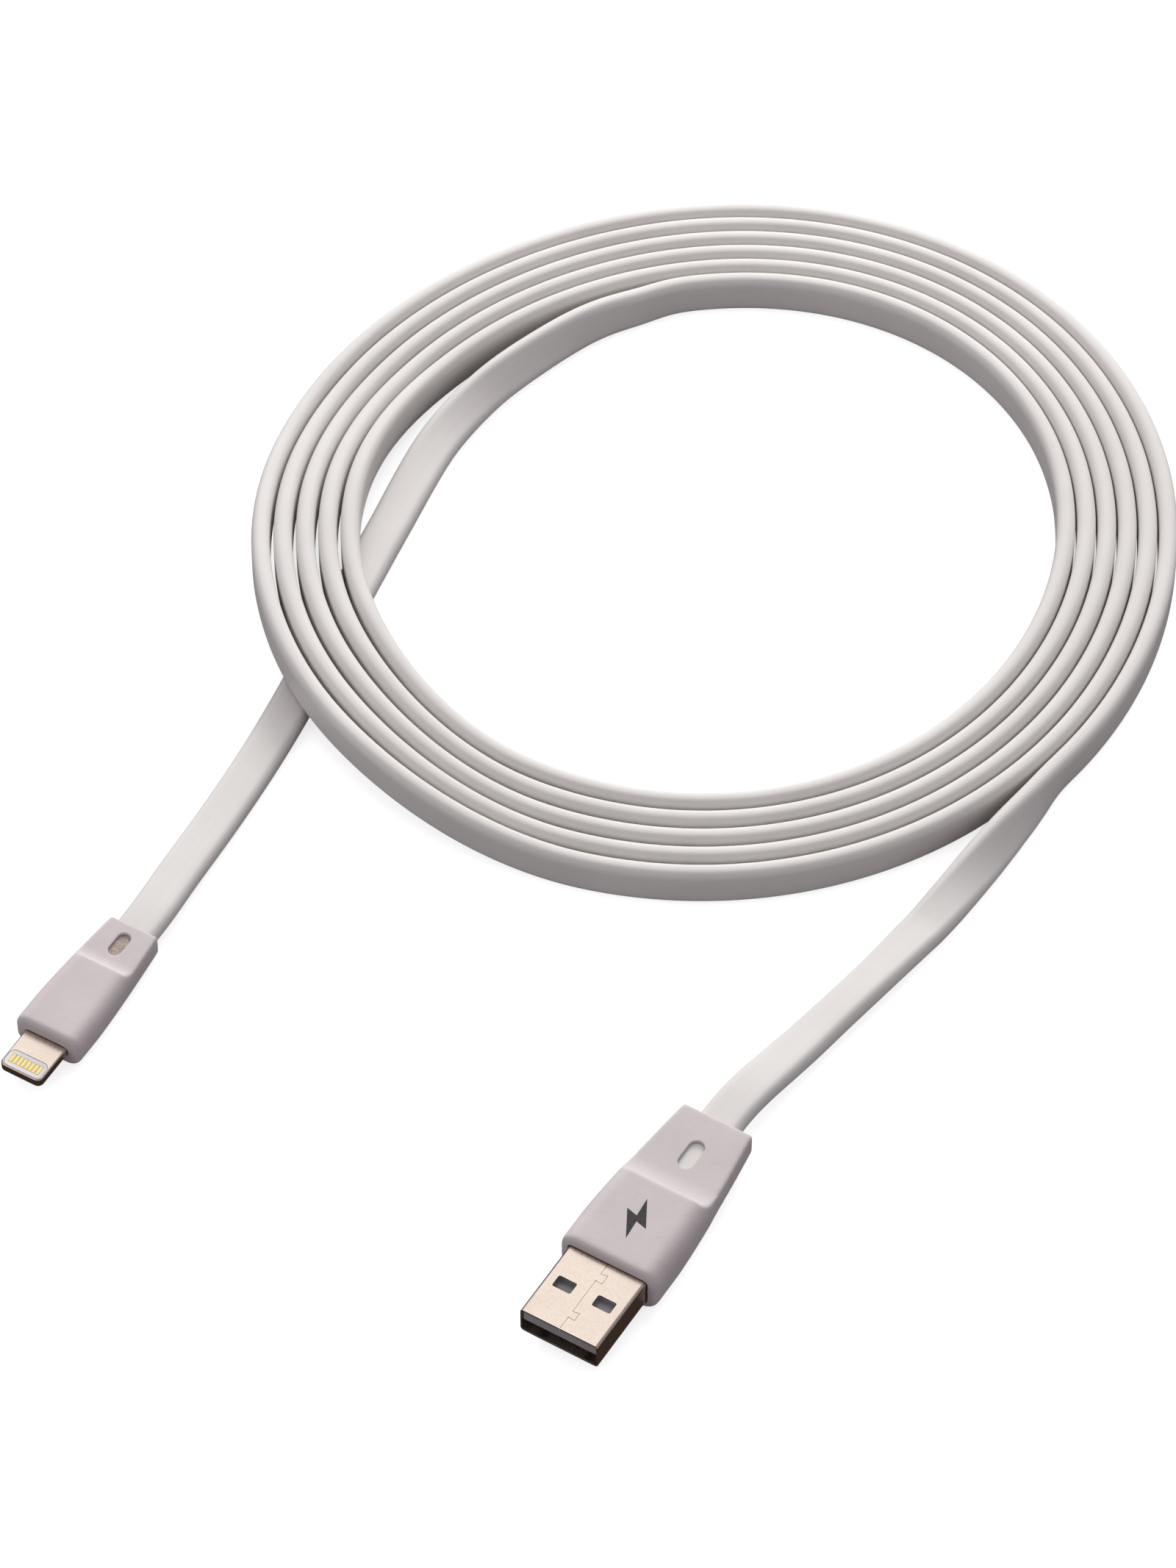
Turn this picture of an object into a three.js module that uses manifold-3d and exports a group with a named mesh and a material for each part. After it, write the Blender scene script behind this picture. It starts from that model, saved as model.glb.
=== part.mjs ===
// A flat charging cable: a USB-A plug at one end, a reversible eight-contact phone plug at the
// other, and between them a ribbon jacket that stands on edge in a loose, slightly oval coil.
// Millimetres, +Z up. The origin is under the middle of the whole object, on the surface that it
// lies on, and +Y points away from the plugs.

import * as THREE from 'three';
import { mergeVertices } from 'three/addons/utils/BufferGeometryUtils.js';
import Module from 'manifold-3d';

const wasm = await Module();
wasm.setup();

// Clearances
const fit = 0.05; // between moulded or pressed pieces inside a plug
const jacketFit = 0.1; // around the jacket where it runs inside a plug
const meetGap = 0.3; // end to end between the cable's own lengths, and over a crossing
const floorFit = 0.05; // under the free lengths, so that no twisted section dips below the surface
const leastFlat = 0.002; // left between two rounded corners

// Cable
const ribbon = { width: 6.2, thickness: 2.7, corner: 1.2 };
const wire = { radius: 0.45, pitch: 1.4, count: 4 };

// USB-A plug. Distances called "behind" run back from the mouth of its grip.
const shell = { width: 12, height: 4.5, sheet: 0.3, corner: 0.6, reach: 12.2, buried: 6.3 };
const latchHole = { length: 1.9, width: 2.8, corner: 0.25, sideways: 3.05, fromMouth: 5.8 };
const tongue = { thickness: 1.9, setBack: 0.25, rootBehind: 0.5 };
const usbContact = { width: 1, thickness: 0.2, proud: 0.1, tail: 2, outerAt: 3.5, innerAt: 1 };
const usbContactSetBack = { outer: 1.4, inner: 2.4 };
const usbCore = { width: 10.5, height: 5.2, rearBehind: 13.4, jacketBehind: 12.4 };
const usbGrip = {
  length: 28.6, sideWall: 1.5, faceWall: 1.55, corner: 2.5, edge: 0.8, rearEdge: 0.4,
  rearSideWall: 2.2, rearFaceWall: 0.4, taperBehind: 6, taperPower: 1.35, scoopBehind: 14, scoopLength: 3.7,
  window: { length: 5, width: 2.2, fromExit: 7.1 },
};

// Phone plug
const nose = { width: 6.7, thickness: 1.5, corner: 0.35, tipCorner: 0.9, reach: 6.6, buried: 3 };
const flange = { width: 7.6, height: 2.6, corner: 0.6, behind: 0.6 };
const pad = { length: 2.9, width: 6.1, corner: 0.95, frontMargin: 0.2, sunk: 0.02 };
const tipContact = { length: 1.45, width: 0.42, pitch: 0.62, count: 8, pocketFit: 0.04 };
const board = { thickness: 0.6, noseWidth: 4.9, noseMargin: 0.3, width: 6.6, rearBehind: 10 };
const boardSlotFit = 0.1;
const chip = { size: 2.4, height: 0.7, behind: 5.6 };
const capacitor = { length: 1, width: 0.5, height: 0.5, behind: 4.8, sideways: 1.6 };
const sleeve = { width: 7.6, height: 3.6, wall: 0.2, corner: 0.5, frontBehind: 3.1, rearBehind: 10.9 };
const tipCore = { width: 7.6, height: 3.6, rearBehind: 13, jacketBehind: 12.3 };
const tipPadPitch = 1.5;
const tipGrip = {
  length: 22, sideWall: 1.8, faceWall: 1, corner: 2, edge: 0.8, rearEdge: 0.35,
  rearSideWall: 0.7, rearFaceWall: 0.3, taperBehind: 5, taperPower: 1.35, scoopBehind: 13.5, scoopLength: 2.1,
  window: { length: 4.1, width: 1.9, fromExit: 3.75 },
};

const mouthRelief = { gap: 0.2, depth: 0.6 };
const solder = { usbRadius: 0.4, tipRadius: 0.35, usbLength: 1.8, tipLength: 1.4, step: 0.1 };

// Where each plug's cable exit lies, and the way that the plug points
const usbPlace = { x: 14.7, y: -67.1, heading: -121.5 };
const tipPlace = { x: -65.1, y: -33.1, heading: -120.7 };

// The coil's centreline: its radius falls by one pitch a turn, on a slightly oval plan
const coil = { x: 15, y: 40.7, radius: 65.8, pitch: 3.07, startAngle: -44, endAngle: 1898 };
const ovals = [
  { waves: 1, size: 1.33, phase: -71 },
  { waves: 2, size: 1.53, phase: 80 },
  { waves: 3, size: 0.47, phase: 143 },
];
const spread = { size: 0.21, middleTurn: 2.5, phase: 53 };

// The turns ride over the phone plug's end of the cable in a long low hump
const hump = { angle: 188, radius: 51, anglePerMm: 1.24, flat: 11, ramp: 37 };

// Free lengths of the cable: x, y, twist in degrees (0 flat, 90 on edge) and height under it
const usbRoute = [
  [19.2, -60.5, 0, 2.1],
  [22.6, -56.2, -4, 1.1],
  [26.3, -51.7, -8, 0.3],
  [30, -47.3, -12, 0],
  [33.9, -42.9, -14, 0],
  [37.7, -38.4, -12, 0],
  [41.4, -33.8, -6, 0],
  [45.2, -29, 4, 0],
  [48.8, -24.2, 18, 0],
  [52.4, -19.3, 36, 0],
  [55.9, -14.5, 56, 0],
  [59.3, -9.9, 74, 0],
];
const tipRoute = [
  [4.7, 85.9, 96, 0],
  [0.5, 84.3, 102, 0],
  [-3.1, 82.3, 108, 0],
  [-6.8, 79.6, 116, 0],
  [-10.4, 76.6, 124, 0],
  [-13.9, 73.5, 132, 0],
  [-17.2, 70.2, 141, 0],
  [-20.1, 66.6, 150, 0],
  [-22.8, 62.8, 158, 0],
  [-25.2, 58.7, 165, 0],
  [-27.2, 54.3, 171, 0],
  [-29.1, 49.7, 176, 0],
  [-30.9, 45.1, 180, 0],
  [-34.8, 35.3, 180, 0],
  [-38.8, 24.9, 180, 0],
  [-42.8, 14.3, 180, 0],
  [-46.8, 4.5, 180, 0],
  [-51, -4.8, 180, 0.1],
  [-55.3, -13.6, 180, 0.3],
  [-59.5, -21.9, 180, 0.7],
];

const radians = THREE.MathUtils.degToRad;
const up = new THREE.Vector3(0, 0, 1);

// Shapes and solids

// A corner's radius, no larger than its wall leaves room for
function cornerWithin(width, height, corner) {
  return Math.min(corner, (Math.min(width, height) - leastFlat) / 2);
}

function roundedRectangle(width, height, wanted) {
  const corner = cornerWithin(width, height, wanted);
  const x = width / 2 - corner;
  const y = height / 2 - corner;
  const shape = new THREE.Shape();
  shape.absarc(x, y, corner, 0, Math.PI / 2);
  shape.absarc(-x, y, corner, Math.PI / 2, Math.PI);
  shape.absarc(-x, -y, corner, Math.PI, Math.PI * 1.5);
  shape.absarc(x, -y, corner, Math.PI * 1.5, Math.PI * 2);
  shape.closePath();
  return shape;
}

function extruded(shape, depth, steps, curveSegments) {
  return new THREE.ExtrudeGeometry(shape, { depth, steps, curveSegments, bevelEnabled: false });
}

// A section drawn across the plug, run forwards along X
function bar(shape, from, to, curveSegments = 2) {
  const acrossPlug = new THREE.Matrix4().makeBasis(
    new THREE.Vector3(0, 1, 0),
    new THREE.Vector3(0, 0, 1),
    new THREE.Vector3(1, 0, 0),
  );
  return extruded(shape, to - from, 1, curveSegments).applyMatrix4(acrossPlug).translate(from, 0, 0);
}

// An outline drawn in plan, raised from one height to another
function plate(shape, x, y, low, high, curveSegments = 2) {
  return extruded(shape, high - low, 1, curveSegments).translate(x, y, low);
}

function block(x0, x1, y0, y1, z0, z1) {
  const geometry = new THREE.BoxGeometry(x1 - x0, y1 - y0, z1 - z0);
  return geometry.translate((x0 + x1) / 2, (y0 + y1) / 2, (z0 + z1) / 2);
}

function toSolid(geometry) {
  const bare = geometry.clone();
  bare.deleteAttribute('normal');
  bare.deleteAttribute('uv');
  const merged = mergeVertices(bare, 1e-4);
  const vertProperties = Float32Array.from(merged.attributes.position.array);
  const triVerts = Uint32Array.from(merged.index.array);
  return new wasm.Manifold(new wasm.Mesh({ numProp: 3, vertProperties, triVerts }));
}

function toGeometry(solid) {
  const found = solid.getMesh();
  const geometry = new THREE.BufferGeometry();
  geometry.setAttribute('position', new THREE.BufferAttribute(found.vertProperties, 3));
  geometry.setIndex(new THREE.BufferAttribute(found.triVerts, 1));
  const flat = geometry.toNonIndexed();
  flat.computeVertexNormals();
  return flat;
}

function cut(body, tools) {
  const solid = tools.reduce((left, tool) => left.subtract(toSolid(tool)), toSolid(body));
  return toGeometry(solid);
}

// Moves each section of a straight extrusion: place(index, x, y) gives its new point
function reshape(shape, steps, curveSegments, place) {
  const geometry = extruded(shape, steps, steps, curveSegments);
  const position = geometry.attributes.position;
  for (let i = 0; i < position.count; i += 1) {
    const point = place(Math.round(position.getZ(i)), position.getX(i), position.getY(i));
    position.setXYZ(i, point.x, point.y, point.z);
  }
  geometry.computeVertexNormals();
  return geometry;
}

// A section carried along a curve; twist(t) turns it about the curve
function sweep(shape, curve, steps, curveSegments, twist) {
  const sections = Array.from({ length: steps + 1 }, (_, i) => {
    const t = curve.getUtoTmapping(i / steps);
    const forward = curve.getTangent(t);
    const left = new THREE.Vector3().crossVectors(up, forward).normalize();
    const over = new THREE.Vector3().crossVectors(forward, left);
    const angle = twist(t);
    const across = left.clone().multiplyScalar(Math.cos(angle)).addScaledVector(over, Math.sin(angle));
    const through = new THREE.Vector3().crossVectors(forward, across);
    return { centre: curve.getPoint(t), across, through };
  });
  return reshape(shape, steps, curveSegments, (i, x, y) => {
    const { centre, across, through } = sections[i];
    return centre.clone().addScaledVector(across, x).addScaledVector(through, y);
  });
}

// A closed rod with domed ends, lying along X
function domedRod(radius, length, x, y, z) {
  const profile = [];
  const arcSteps = 3;
  const middle = length / 2 - radius;
  for (let i = 0; i <= arcSteps; i += 1) {
    const angle = (i / arcSteps - 1) * (Math.PI / 2);
    profile.push(new THREE.Vector2(radius * Math.cos(angle), radius * Math.sin(angle) - middle));
  }
  for (let i = 0; i <= arcSteps; i += 1) {
    const angle = (i / arcSteps) * (Math.PI / 2);
    profile.push(new THREE.Vector2(radius * Math.cos(angle), radius * Math.sin(angle) + middle));
  }
  profile[0].x = 0;
  profile[profile.length - 1].x = 0;
  return new THREE.LatheGeometry(profile, 10).rotateZ(-Math.PI / 2).translate(x, y, z);
}

function finish(color, roughness, metalness) {
  return new THREE.MeshStandardMaterial({ color, roughness, metalness });
}

const finishes = {
  jacket: () => finish('#dcd7d2', 0.62, 0),
  grip: () => finish('#d0c8c8', 0.7, 0),
  core: () => finish('#e9e6df', 0.6, 0),
  plating: () => finish('#d9ccbd', 0.32, 1),
  gold: () => finish('#e2bf62', 0.25, 1),
  tin: () => finish('#b9babb', 0.4, 1),
  darkPlastic: () => finish('#77767a', 0.5, 0),
  whitePlastic: () => finish('#f0ecec', 0.45, 0),
  boardGreen: () => finish('#1f5a3c', 0.55, 0),
  chipBlack: () => finish('#202022', 0.5, 0),
  capacitorTan: () => finish('#a58a63', 0.5, 0),
  red: () => finish('#a3322d', 0.5, 0),
  white: () => finish('#e4e2dc', 0.5, 0),
  green: () => finish('#2f7a47', 0.5, 0),
  black: () => finish('#232325', 0.5, 0),
};

function piece(parent, name, geometry, material) {
  const mesh = new THREE.Mesh(geometry, material);
  mesh.name = name;
  parent.add(mesh);
}

const wireKinds = [
  { name: 'power', finish: finishes.red },
  { name: 'data_minus', finish: finishes.white },
  { name: 'data_plus', finish: finishes.green },
  { name: 'ground', finish: finishes.black },
];

function evenly(count, pitch, index) {
  return (index - (count - 1) / 2) * pitch;
}

// The grip's outside: sections from the cable exit to the mouth, narrower towards the cable

function gripSize(grip, mouthWidth, mouthHeight) {
  return {
    width: mouthWidth + 2 * grip.sideWall,
    height: mouthHeight + 2 * grip.faceWall,
    rearWidth: ribbon.width + 2 * (jacketFit + grip.rearSideWall),
    rearHeight: ribbon.thickness + 2 * (jacketFit + grip.rearFaceWall),
  };
}

function gripStations(grip, size) {
  const stations = [];
  const add = (x, inset) => {
    const tapered = (grip.length - x - grip.taperBehind) / (grip.length - grip.taperBehind);
    const share = THREE.MathUtils.clamp(tapered, 0, 1) ** grip.taperPower;
    stations.push({ x, inset, width: THREE.MathUtils.lerp(size.width, size.rearWidth, share) });
  };
  const edgeSteps = 3;
  for (let i = 0; i <= edgeSteps; i += 1) {
    const angle = (i / edgeSteps) * (Math.PI / 2);
    add(grip.rearEdge * (1 - Math.cos(angle)), grip.rearEdge * (1 - Math.sin(angle)));
  }
  const taperSteps = 8;
  const taperStart = grip.length - grip.taperBehind;
  for (let i = 1; i <= taperSteps; i += 1) {
    add(THREE.MathUtils.lerp(grip.rearEdge, taperStart, i / taperSteps), 0);
  }
  for (let i = 0; i <= edgeSteps; i += 1) {
    const angle = (i / edgeSteps) * (Math.PI / 2);
    add(grip.length - grip.edge * (1 - Math.sin(angle)), grip.edge * (1 - Math.cos(angle)));
  }
  return stations;
}

function gripBody(grip, size) {
  const stations = gripStations(grip, size);
  const section = roundedRectangle(size.width, size.height, grip.corner);
  return reshape(section, stations.length - 1, 2, (i, y, z) => {
    const { x, width, inset } = stations[i];
    const narrowing = size.width - width + 2 * inset;
    return {
      x,
      y: y * (1 - narrowing / size.width),
      z: z * (1 - (2 * inset) / size.height),
    };
  });
}

// The scoop on each face: flat towards the cable, then a ramp that steepens up to the full height
function gripScoops(grip, size) {
  const floor = size.rearHeight / 2;
  const rise = (size.height - size.rearHeight) / 2;
  const rampEnd = grip.length - grip.scoopBehind;
  const rampStart = rampEnd - grip.scoopLength;
  const side = new THREE.Shape();
  side.moveTo(-1, floor);
  side.lineTo(rampStart, floor);
  side.absellipse(rampStart, floor + rise, grip.scoopLength, rise, -Math.PI / 2, 0);
  side.lineTo(rampEnd, floor + rise + 1);
  side.lineTo(-1, floor + rise + 1);
  side.closePath();
  const across = size.width + 2;
  const upper = extruded(side, across, 1, 6).rotateX(Math.PI / 2).translate(0, across / 2, 0);
  return [upper, upper.clone().rotateX(Math.PI)];
}

// What every grip is cut by: the jacket's channel and the obround windows over it
function gripChannel(grip, channelEnd) {
  const channel = roundedRectangle(
    ribbon.width + 2 * jacketFit,
    ribbon.thickness + 2 * jacketFit,
    ribbon.corner + jacketFit,
  );
  const { length, width, fromExit } = grip.window;
  const window = roundedRectangle(length, width, width / 2);
  const reach = grip.length;
  return [
    bar(channel, -1, channelEnd),
    plate(window, fromExit, 0, -reach, reach),
  ];
}

// USB-A plug, built pointing along +X with its cable exit at the origin

function usbContactAt(index) {
  const side = index < 2 ? -1 : 1;
  const isOuter = index === 0 || index === 3;
  return {
    y: side * (isOuter ? usbContact.outerAt : usbContact.innerAt),
    setBack: isOuter ? usbContactSetBack.outer : usbContactSetBack.inner,
  };
}

function wireCurve(from, to) {
  const third = (to.x - from.x) / 3;
  const leaving = from.clone().setX(from.x + third);
  const arriving = to.clone().setX(to.x - third);
  return new THREE.CubicBezierCurve3(from, leaving, arriving, to);
}

function wireTube(curve, radius) {
  return sweep(new THREE.Shape().absarc(0, 0, radius, 0, Math.PI * 2), curve, 6, 4, () => 0);
}

function usbPlug() {
  const plug = new THREE.Group();
  const mouth = usbGrip.length;
  const front = mouth + shell.reach;
  const shellRear = mouth - shell.buried;
  const inside = { width: shell.width - 2 * shell.sheet, height: shell.height - 2 * shell.sheet };
  const insideCorner = shell.corner - shell.sheet;
  const jacketEnd = mouth - usbCore.jacketBehind;
  const coreRear = mouth - usbCore.rearBehind;

  const holeOutline = roundedRectangle(latchHole.length, latchHole.width, latchHole.corner);
  const holeX = mouth + latchHole.fromMouth;
  const latchHoles = [-1, 1].map((side) => (
    plate(holeOutline, holeX, side * latchHole.sideways, -shell.height, shell.height)
  ));
  const shellTube = bar(roundedRectangle(shell.width, shell.height, shell.corner), shellRear, front);
  const shellHollow = bar(roundedRectangle(inside.width, inside.height, insideCorner), shellRear - 1, front + 1);
  piece(plug, 'usb_shell', cut(shellTube, [shellHollow, ...latchHoles]), finishes.plating());

  const tongueSection = roundedRectangle(inside.width - 2 * fit, inside.height - 2 * fit, insideCorner);
  const tongueTop = inside.height / 2 - fit;
  const tongueUnder = tongueTop - tongue.thickness;
  const contactTop = tongueUnder - usbContact.proud + usbContact.thickness;
  const contactUnder = tongueUnder - usbContact.proud;
  const halfContact = usbContact.width / 2;
  const contacts = [0, 1, 2, 3].map(usbContactAt);
  const contactFront = ({ setBack }) => front - setBack;
  const slots = contacts.map((contact) => block(
    shellRear - 1, contactFront(contact) + fit,
    contact.y - halfContact - fit, contact.y + halfContact + fit,
    contactUnder - fit, contactTop + fit,
  ));
  const tongueFront = front - tongue.setBack;
  const socketSpace = block(
    mouth - tongue.rootBehind, front + 1, -shell.width, shell.width, -shell.height, tongueUnder,
  );
  const tongueBar = bar(tongueSection, shellRear + fit, tongueFront);
  piece(plug, 'usb_tongue', cut(tongueBar, [socketSpace, ...slots]), finishes.darkPlastic());

  const wireZ = contactTop + fit + solder.usbRadius;
  const solderFront = shellRear - solder.step;
  const wireFront = solderFront - solder.usbLength - solder.step;
  const coreCuts = [];
  contacts.forEach((contact, i) => {
    const strip = block(
      shellRear - usbContact.tail, contactFront(contact),
      contact.y - halfContact, contact.y + halfContact, contactUnder, contactTop,
    );
    piece(plug, `usb_contact_${i + 1}`, strip, finishes.gold());
    const joint = domedRod(
      solder.usbRadius, solder.usbLength, solderFront - solder.usbLength / 2, contact.y, wireZ,
    );
    piece(plug, `usb_solder_${i + 1}`, joint, finishes.tin());
    const curve = wireCurve(
      new THREE.Vector3(jacketEnd + solder.step, evenly(wire.count, wire.pitch, i), 0),
      new THREE.Vector3(wireFront, contact.y, wireZ),
    );
    const kind = wireKinds[i];
    piece(plug, `usb_wire_${kind.name}`, wireTube(curve, wire.radius), kind.finish());
    const room = halfContact + fit;
    coreCuts.push(
      wireTube(curve, wire.radius + fit),
      block(
        wireFront - solder.step, shellRear + 1, contact.y - room, contact.y + room,
        contactUnder - fit, wireZ + wire.radius + fit,
      ),
    );
  });

  const jacketSeat = roundedRectangle(
    ribbon.width + 2 * jacketFit, ribbon.thickness + 2 * jacketFit, ribbon.corner + jacketFit,
  );
  coreCuts.push(bar(jacketSeat, coreRear - 1, jacketEnd + 2 * solder.step));
  const coreOutline = roundedRectangle(usbCore.width, usbCore.height, shell.corner);
  const core = cut(bar(coreOutline, coreRear, shellRear - fit), coreCuts);
  piece(plug, 'usb_inner_mould', core, finishes.core());

  const size = gripSize(usbGrip, shell.width, shell.height);
  const shellSeat = roundedRectangle(shell.width + 2 * fit, shell.height + 2 * fit, shell.corner + fit);
  const relief = roundedRectangle(
    shell.width + 2 * mouthRelief.gap, shell.height + 2 * mouthRelief.gap, shell.corner + mouthRelief.gap,
  );
  const coreSeat = roundedRectangle(usbCore.width + 2 * fit, usbCore.height + 2 * fit, shell.corner + fit);
  const grip = cut(gripBody(usbGrip, size), [
    ...gripScoops(usbGrip, size),
    ...gripChannel(usbGrip, coreRear + 1),
    bar(coreSeat, coreRear - fit, shellRear + 0.5),
    bar(shellSeat, shellRear - fit, mouth + 1),
    bar(relief, mouth - mouthRelief.depth, mouth + 1),
  ]);
  piece(plug, 'usb_overmould', grip, finishes.grip());
  place(plug, usbPlace, size.height / 2);
  return { plug, jacketEnd, height: size.height / 2 };
}

// Phone plug, built the same way

function phonePlug() {
  const plug = new THREE.Group();
  const mouth = tipGrip.length;
  const front = mouth + nose.reach;
  const noseRear = mouth - nose.buried;
  const padX = front - pad.frontMargin - pad.length / 2;
  const padRear = padX - pad.length / 2;
  const jacketEnd = mouth - tipCore.jacketBehind;
  const coreRear = mouth - tipCore.rearBehind;
  const halfBoard = board.thickness / 2;
  const halfNose = nose.thickness / 2;

  // The nose's outline in plan. It stands clear of the nose's sides, and only its front cuts.
  const cornerX = front - nose.tipCorner;
  const cornerY = nose.width / 2 - nose.tipCorner;
  const plan = new THREE.Shape();
  plan.moveTo(noseRear - 1, -nose.width);
  plan.lineTo(cornerX, -nose.width);
  plan.absarc(cornerX, -cornerY, nose.tipCorner, -Math.PI / 2, 0);
  plan.absarc(cornerX, cornerY, nose.tipCorner, 0, Math.PI / 2);
  plan.lineTo(cornerX, nose.width);
  plan.lineTo(noseRear - 1, nose.width);
  plan.closePath();
  const noseBar = bar(roundedRectangle(nose.width, nose.thickness, nose.corner), noseRear, front + 1);
  const flangeFront = mouth - flange.behind;
  const flangeBar = bar(roundedRectangle(flange.width, flange.height, flange.corner), noseRear, flangeFront);
  const slotHalf = board.noseWidth / 2 + boardSlotFit;
  const boardSlot = block(
    noseRear - 1, padRear + 1, -slotHalf, slotHalf, -halfBoard - boardSlotFit, halfBoard + boardSlotFit,
  );
  const padHole = plate(
    roundedRectangle(pad.length, pad.width, pad.corner), padX, 0, -nose.thickness, nose.thickness, 3,
  );
  const noseSolid = toSolid(noseBar).intersect(toSolid(plate(plan, 0, 0, -nose.thickness, nose.thickness, 3)))
    .add(toSolid(flangeBar)).subtract(toSolid(boardSlot)).subtract(toSolid(padHole));
  piece(plug, 'tip_frame', toGeometry(noseSolid), finishes.plating());

  const padOutline = roundedRectangle(pad.length - 2 * fit, pad.width - 2 * fit, pad.corner - fit);
  const padTop = halfNose - pad.sunk;
  const noseBoardFront = padX + pad.length / 2 - board.noseMargin;
  const insulatorCuts = [block(
    padRear - 1, noseBoardFront + fit, -slotHalf, slotHalf, -halfBoard - fit, halfBoard + fit,
  )];
  for (const face of [-1, 1]) {
    for (let i = 0; i < tipContact.count; i += 1) {
      const y = evenly(tipContact.count, tipContact.pitch, i);
      const x0 = padX - tipContact.length / 2;
      const x1 = padX + tipContact.length / 2;
      const half = tipContact.width / 2;
      const low = Math.min(face * (halfBoard + fit), face * halfNose);
      const high = Math.max(face * (halfBoard + fit), face * halfNose);
      const side = face > 0 ? 'top' : 'bottom';
      piece(plug, `tip_contact_${side}_${i + 1}`, block(x0, x1, y - half, y + half, low, high), finishes.gold());
      const room = tipContact.pocketFit;
      insulatorCuts.push(block(
        x0 - room, x1 + room, y - half - room, y + half + room, face > 0 ? 0 : -1, face > 0 ? 1 : 0,
      ));
    }
  }
  const insulator = cut(plate(padOutline, padX, 0, -padTop, padTop, 3), insulatorCuts);
  piece(plug, 'tip_insulator', insulator, finishes.whitePlastic());

  const boardRear = mouth - board.rearBehind;
  const boardPlan = new THREE.Shape([
    new THREE.Vector2(boardRear, -board.width / 2),
    new THREE.Vector2(noseRear - fit, -board.width / 2),
    new THREE.Vector2(noseRear - fit, -board.noseWidth / 2),
    new THREE.Vector2(noseBoardFront, -board.noseWidth / 2),
    new THREE.Vector2(noseBoardFront, board.noseWidth / 2),
    new THREE.Vector2(noseRear - fit, board.noseWidth / 2),
    new THREE.Vector2(noseRear - fit, board.width / 2),
    new THREE.Vector2(boardRear, board.width / 2),
  ]);
  piece(plug, 'tip_board', plate(boardPlan, 0, 0, -halfBoard, halfBoard), finishes.boardGreen());

  const onBoard = halfBoard + fit;
  const chipX = mouth - chip.behind;
  const halfChip = chip.size / 2;
  const chipBody = block(
    chipX - halfChip, chipX + halfChip, -halfChip, halfChip, onBoard, onBoard + chip.height,
  );
  piece(plug, 'tip_chip', chipBody, finishes.chipBlack());
  [-1, 1].forEach((side, i) => {
    const x = mouth - capacitor.behind;
    const y = side * capacitor.sideways;
    const body = block(
      x - capacitor.length / 2, x + capacitor.length / 2,
      y - capacitor.width / 2, y + capacitor.width / 2, -onBoard - capacitor.height, -onBoard,
    );
    piece(plug, `tip_capacitor_${i + 1}`, body, finishes.capacitorTan());
  });

  const sleeveFront = mouth - sleeve.frontBehind;
  const sleeveRear = mouth - sleeve.rearBehind;
  const sleeveInside = roundedRectangle(
    sleeve.width - 2 * sleeve.wall, sleeve.height - 2 * sleeve.wall, sleeve.corner - sleeve.wall,
  );
  const sleeveOutline = roundedRectangle(sleeve.width, sleeve.height, sleeve.corner);
  const sleeveTube = cut(bar(sleeveOutline, sleeveRear, sleeveFront), [
    bar(sleeveInside, sleeveRear - 1, sleeveFront + 1),
  ]);
  piece(plug, 'tip_shield_sleeve', sleeveTube, finishes.tin());

  const wireZ = onBoard + solder.tipRadius;
  const wireFront = boardRear - solder.step;
  const solderX = wireFront + solder.step + solder.tipLength / 2;
  const coreCuts = [];
  wireKinds.forEach((kind, i) => {
    const y = evenly(wire.count, tipPadPitch, i);
    const joint = domedRod(solder.tipRadius, solder.tipLength, solderX + solder.step, y, wireZ);
    piece(plug, `tip_solder_${i + 1}`, joint, finishes.tin());
    const curve = wireCurve(
      new THREE.Vector3(jacketEnd + solder.step, evenly(wire.count, wire.pitch, i), 0),
      new THREE.Vector3(wireFront, y, wireZ),
    );
    piece(plug, `tip_wire_${kind.name}`, wireTube(curve, wire.radius), kind.finish());
    coreCuts.push(wireTube(curve, wire.radius + fit));
  });

  const jacketSeat = roundedRectangle(
    ribbon.width + 2 * jacketFit, ribbon.thickness + 2 * jacketFit, ribbon.corner + jacketFit,
  );
  coreCuts.push(bar(jacketSeat, coreRear - 1, jacketEnd + 2 * solder.step));
  const coreOutline = roundedRectangle(tipCore.width, tipCore.height, sleeve.corner);
  const core = cut(bar(coreOutline, coreRear, sleeveRear - fit), coreCuts);
  piece(plug, 'tip_inner_mould', core, finishes.core());

  const size = gripSize(tipGrip, nose.width, tipCore.height);
  const seat = roundedRectangle(sleeve.width + 2 * fit, sleeve.height + 2 * fit, sleeve.corner + fit);
  const flangeSeat = roundedRectangle(flange.width + 2 * fit, flange.height + 2 * fit, flange.corner + fit);
  const noseSeat = roundedRectangle(nose.width + 2 * fit, nose.thickness + 2 * fit, nose.corner + fit);
  const relief = roundedRectangle(
    nose.width + 2 * mouthRelief.gap, nose.thickness + 2 * mouthRelief.gap, nose.corner + mouthRelief.gap,
  );
  const grip = cut(gripBody(tipGrip, size), [
    ...gripScoops(tipGrip, size),
    ...gripChannel(tipGrip, coreRear + 1),
    bar(seat, coreRear - fit, sleeveFront + fit),
    bar(flangeSeat, noseRear - 0.5, flangeFront + fit),
    bar(noseSeat, flangeFront - 0.5, mouth + 1),
    bar(relief, mouth - mouthRelief.depth / 2, mouth + 1),
  ]);
  piece(plug, 'tip_overmould', grip, finishes.grip());
  place(plug, tipPlace, size.height / 2);
  return { plug, jacketEnd, height: size.height / 2 };
}

function place(plug, { x, y, heading }, height) {
  plug.position.set(x, y, height);
  plug.rotation.z = radians(heading);
}

// Cable: the coil and the two free lengths

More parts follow.
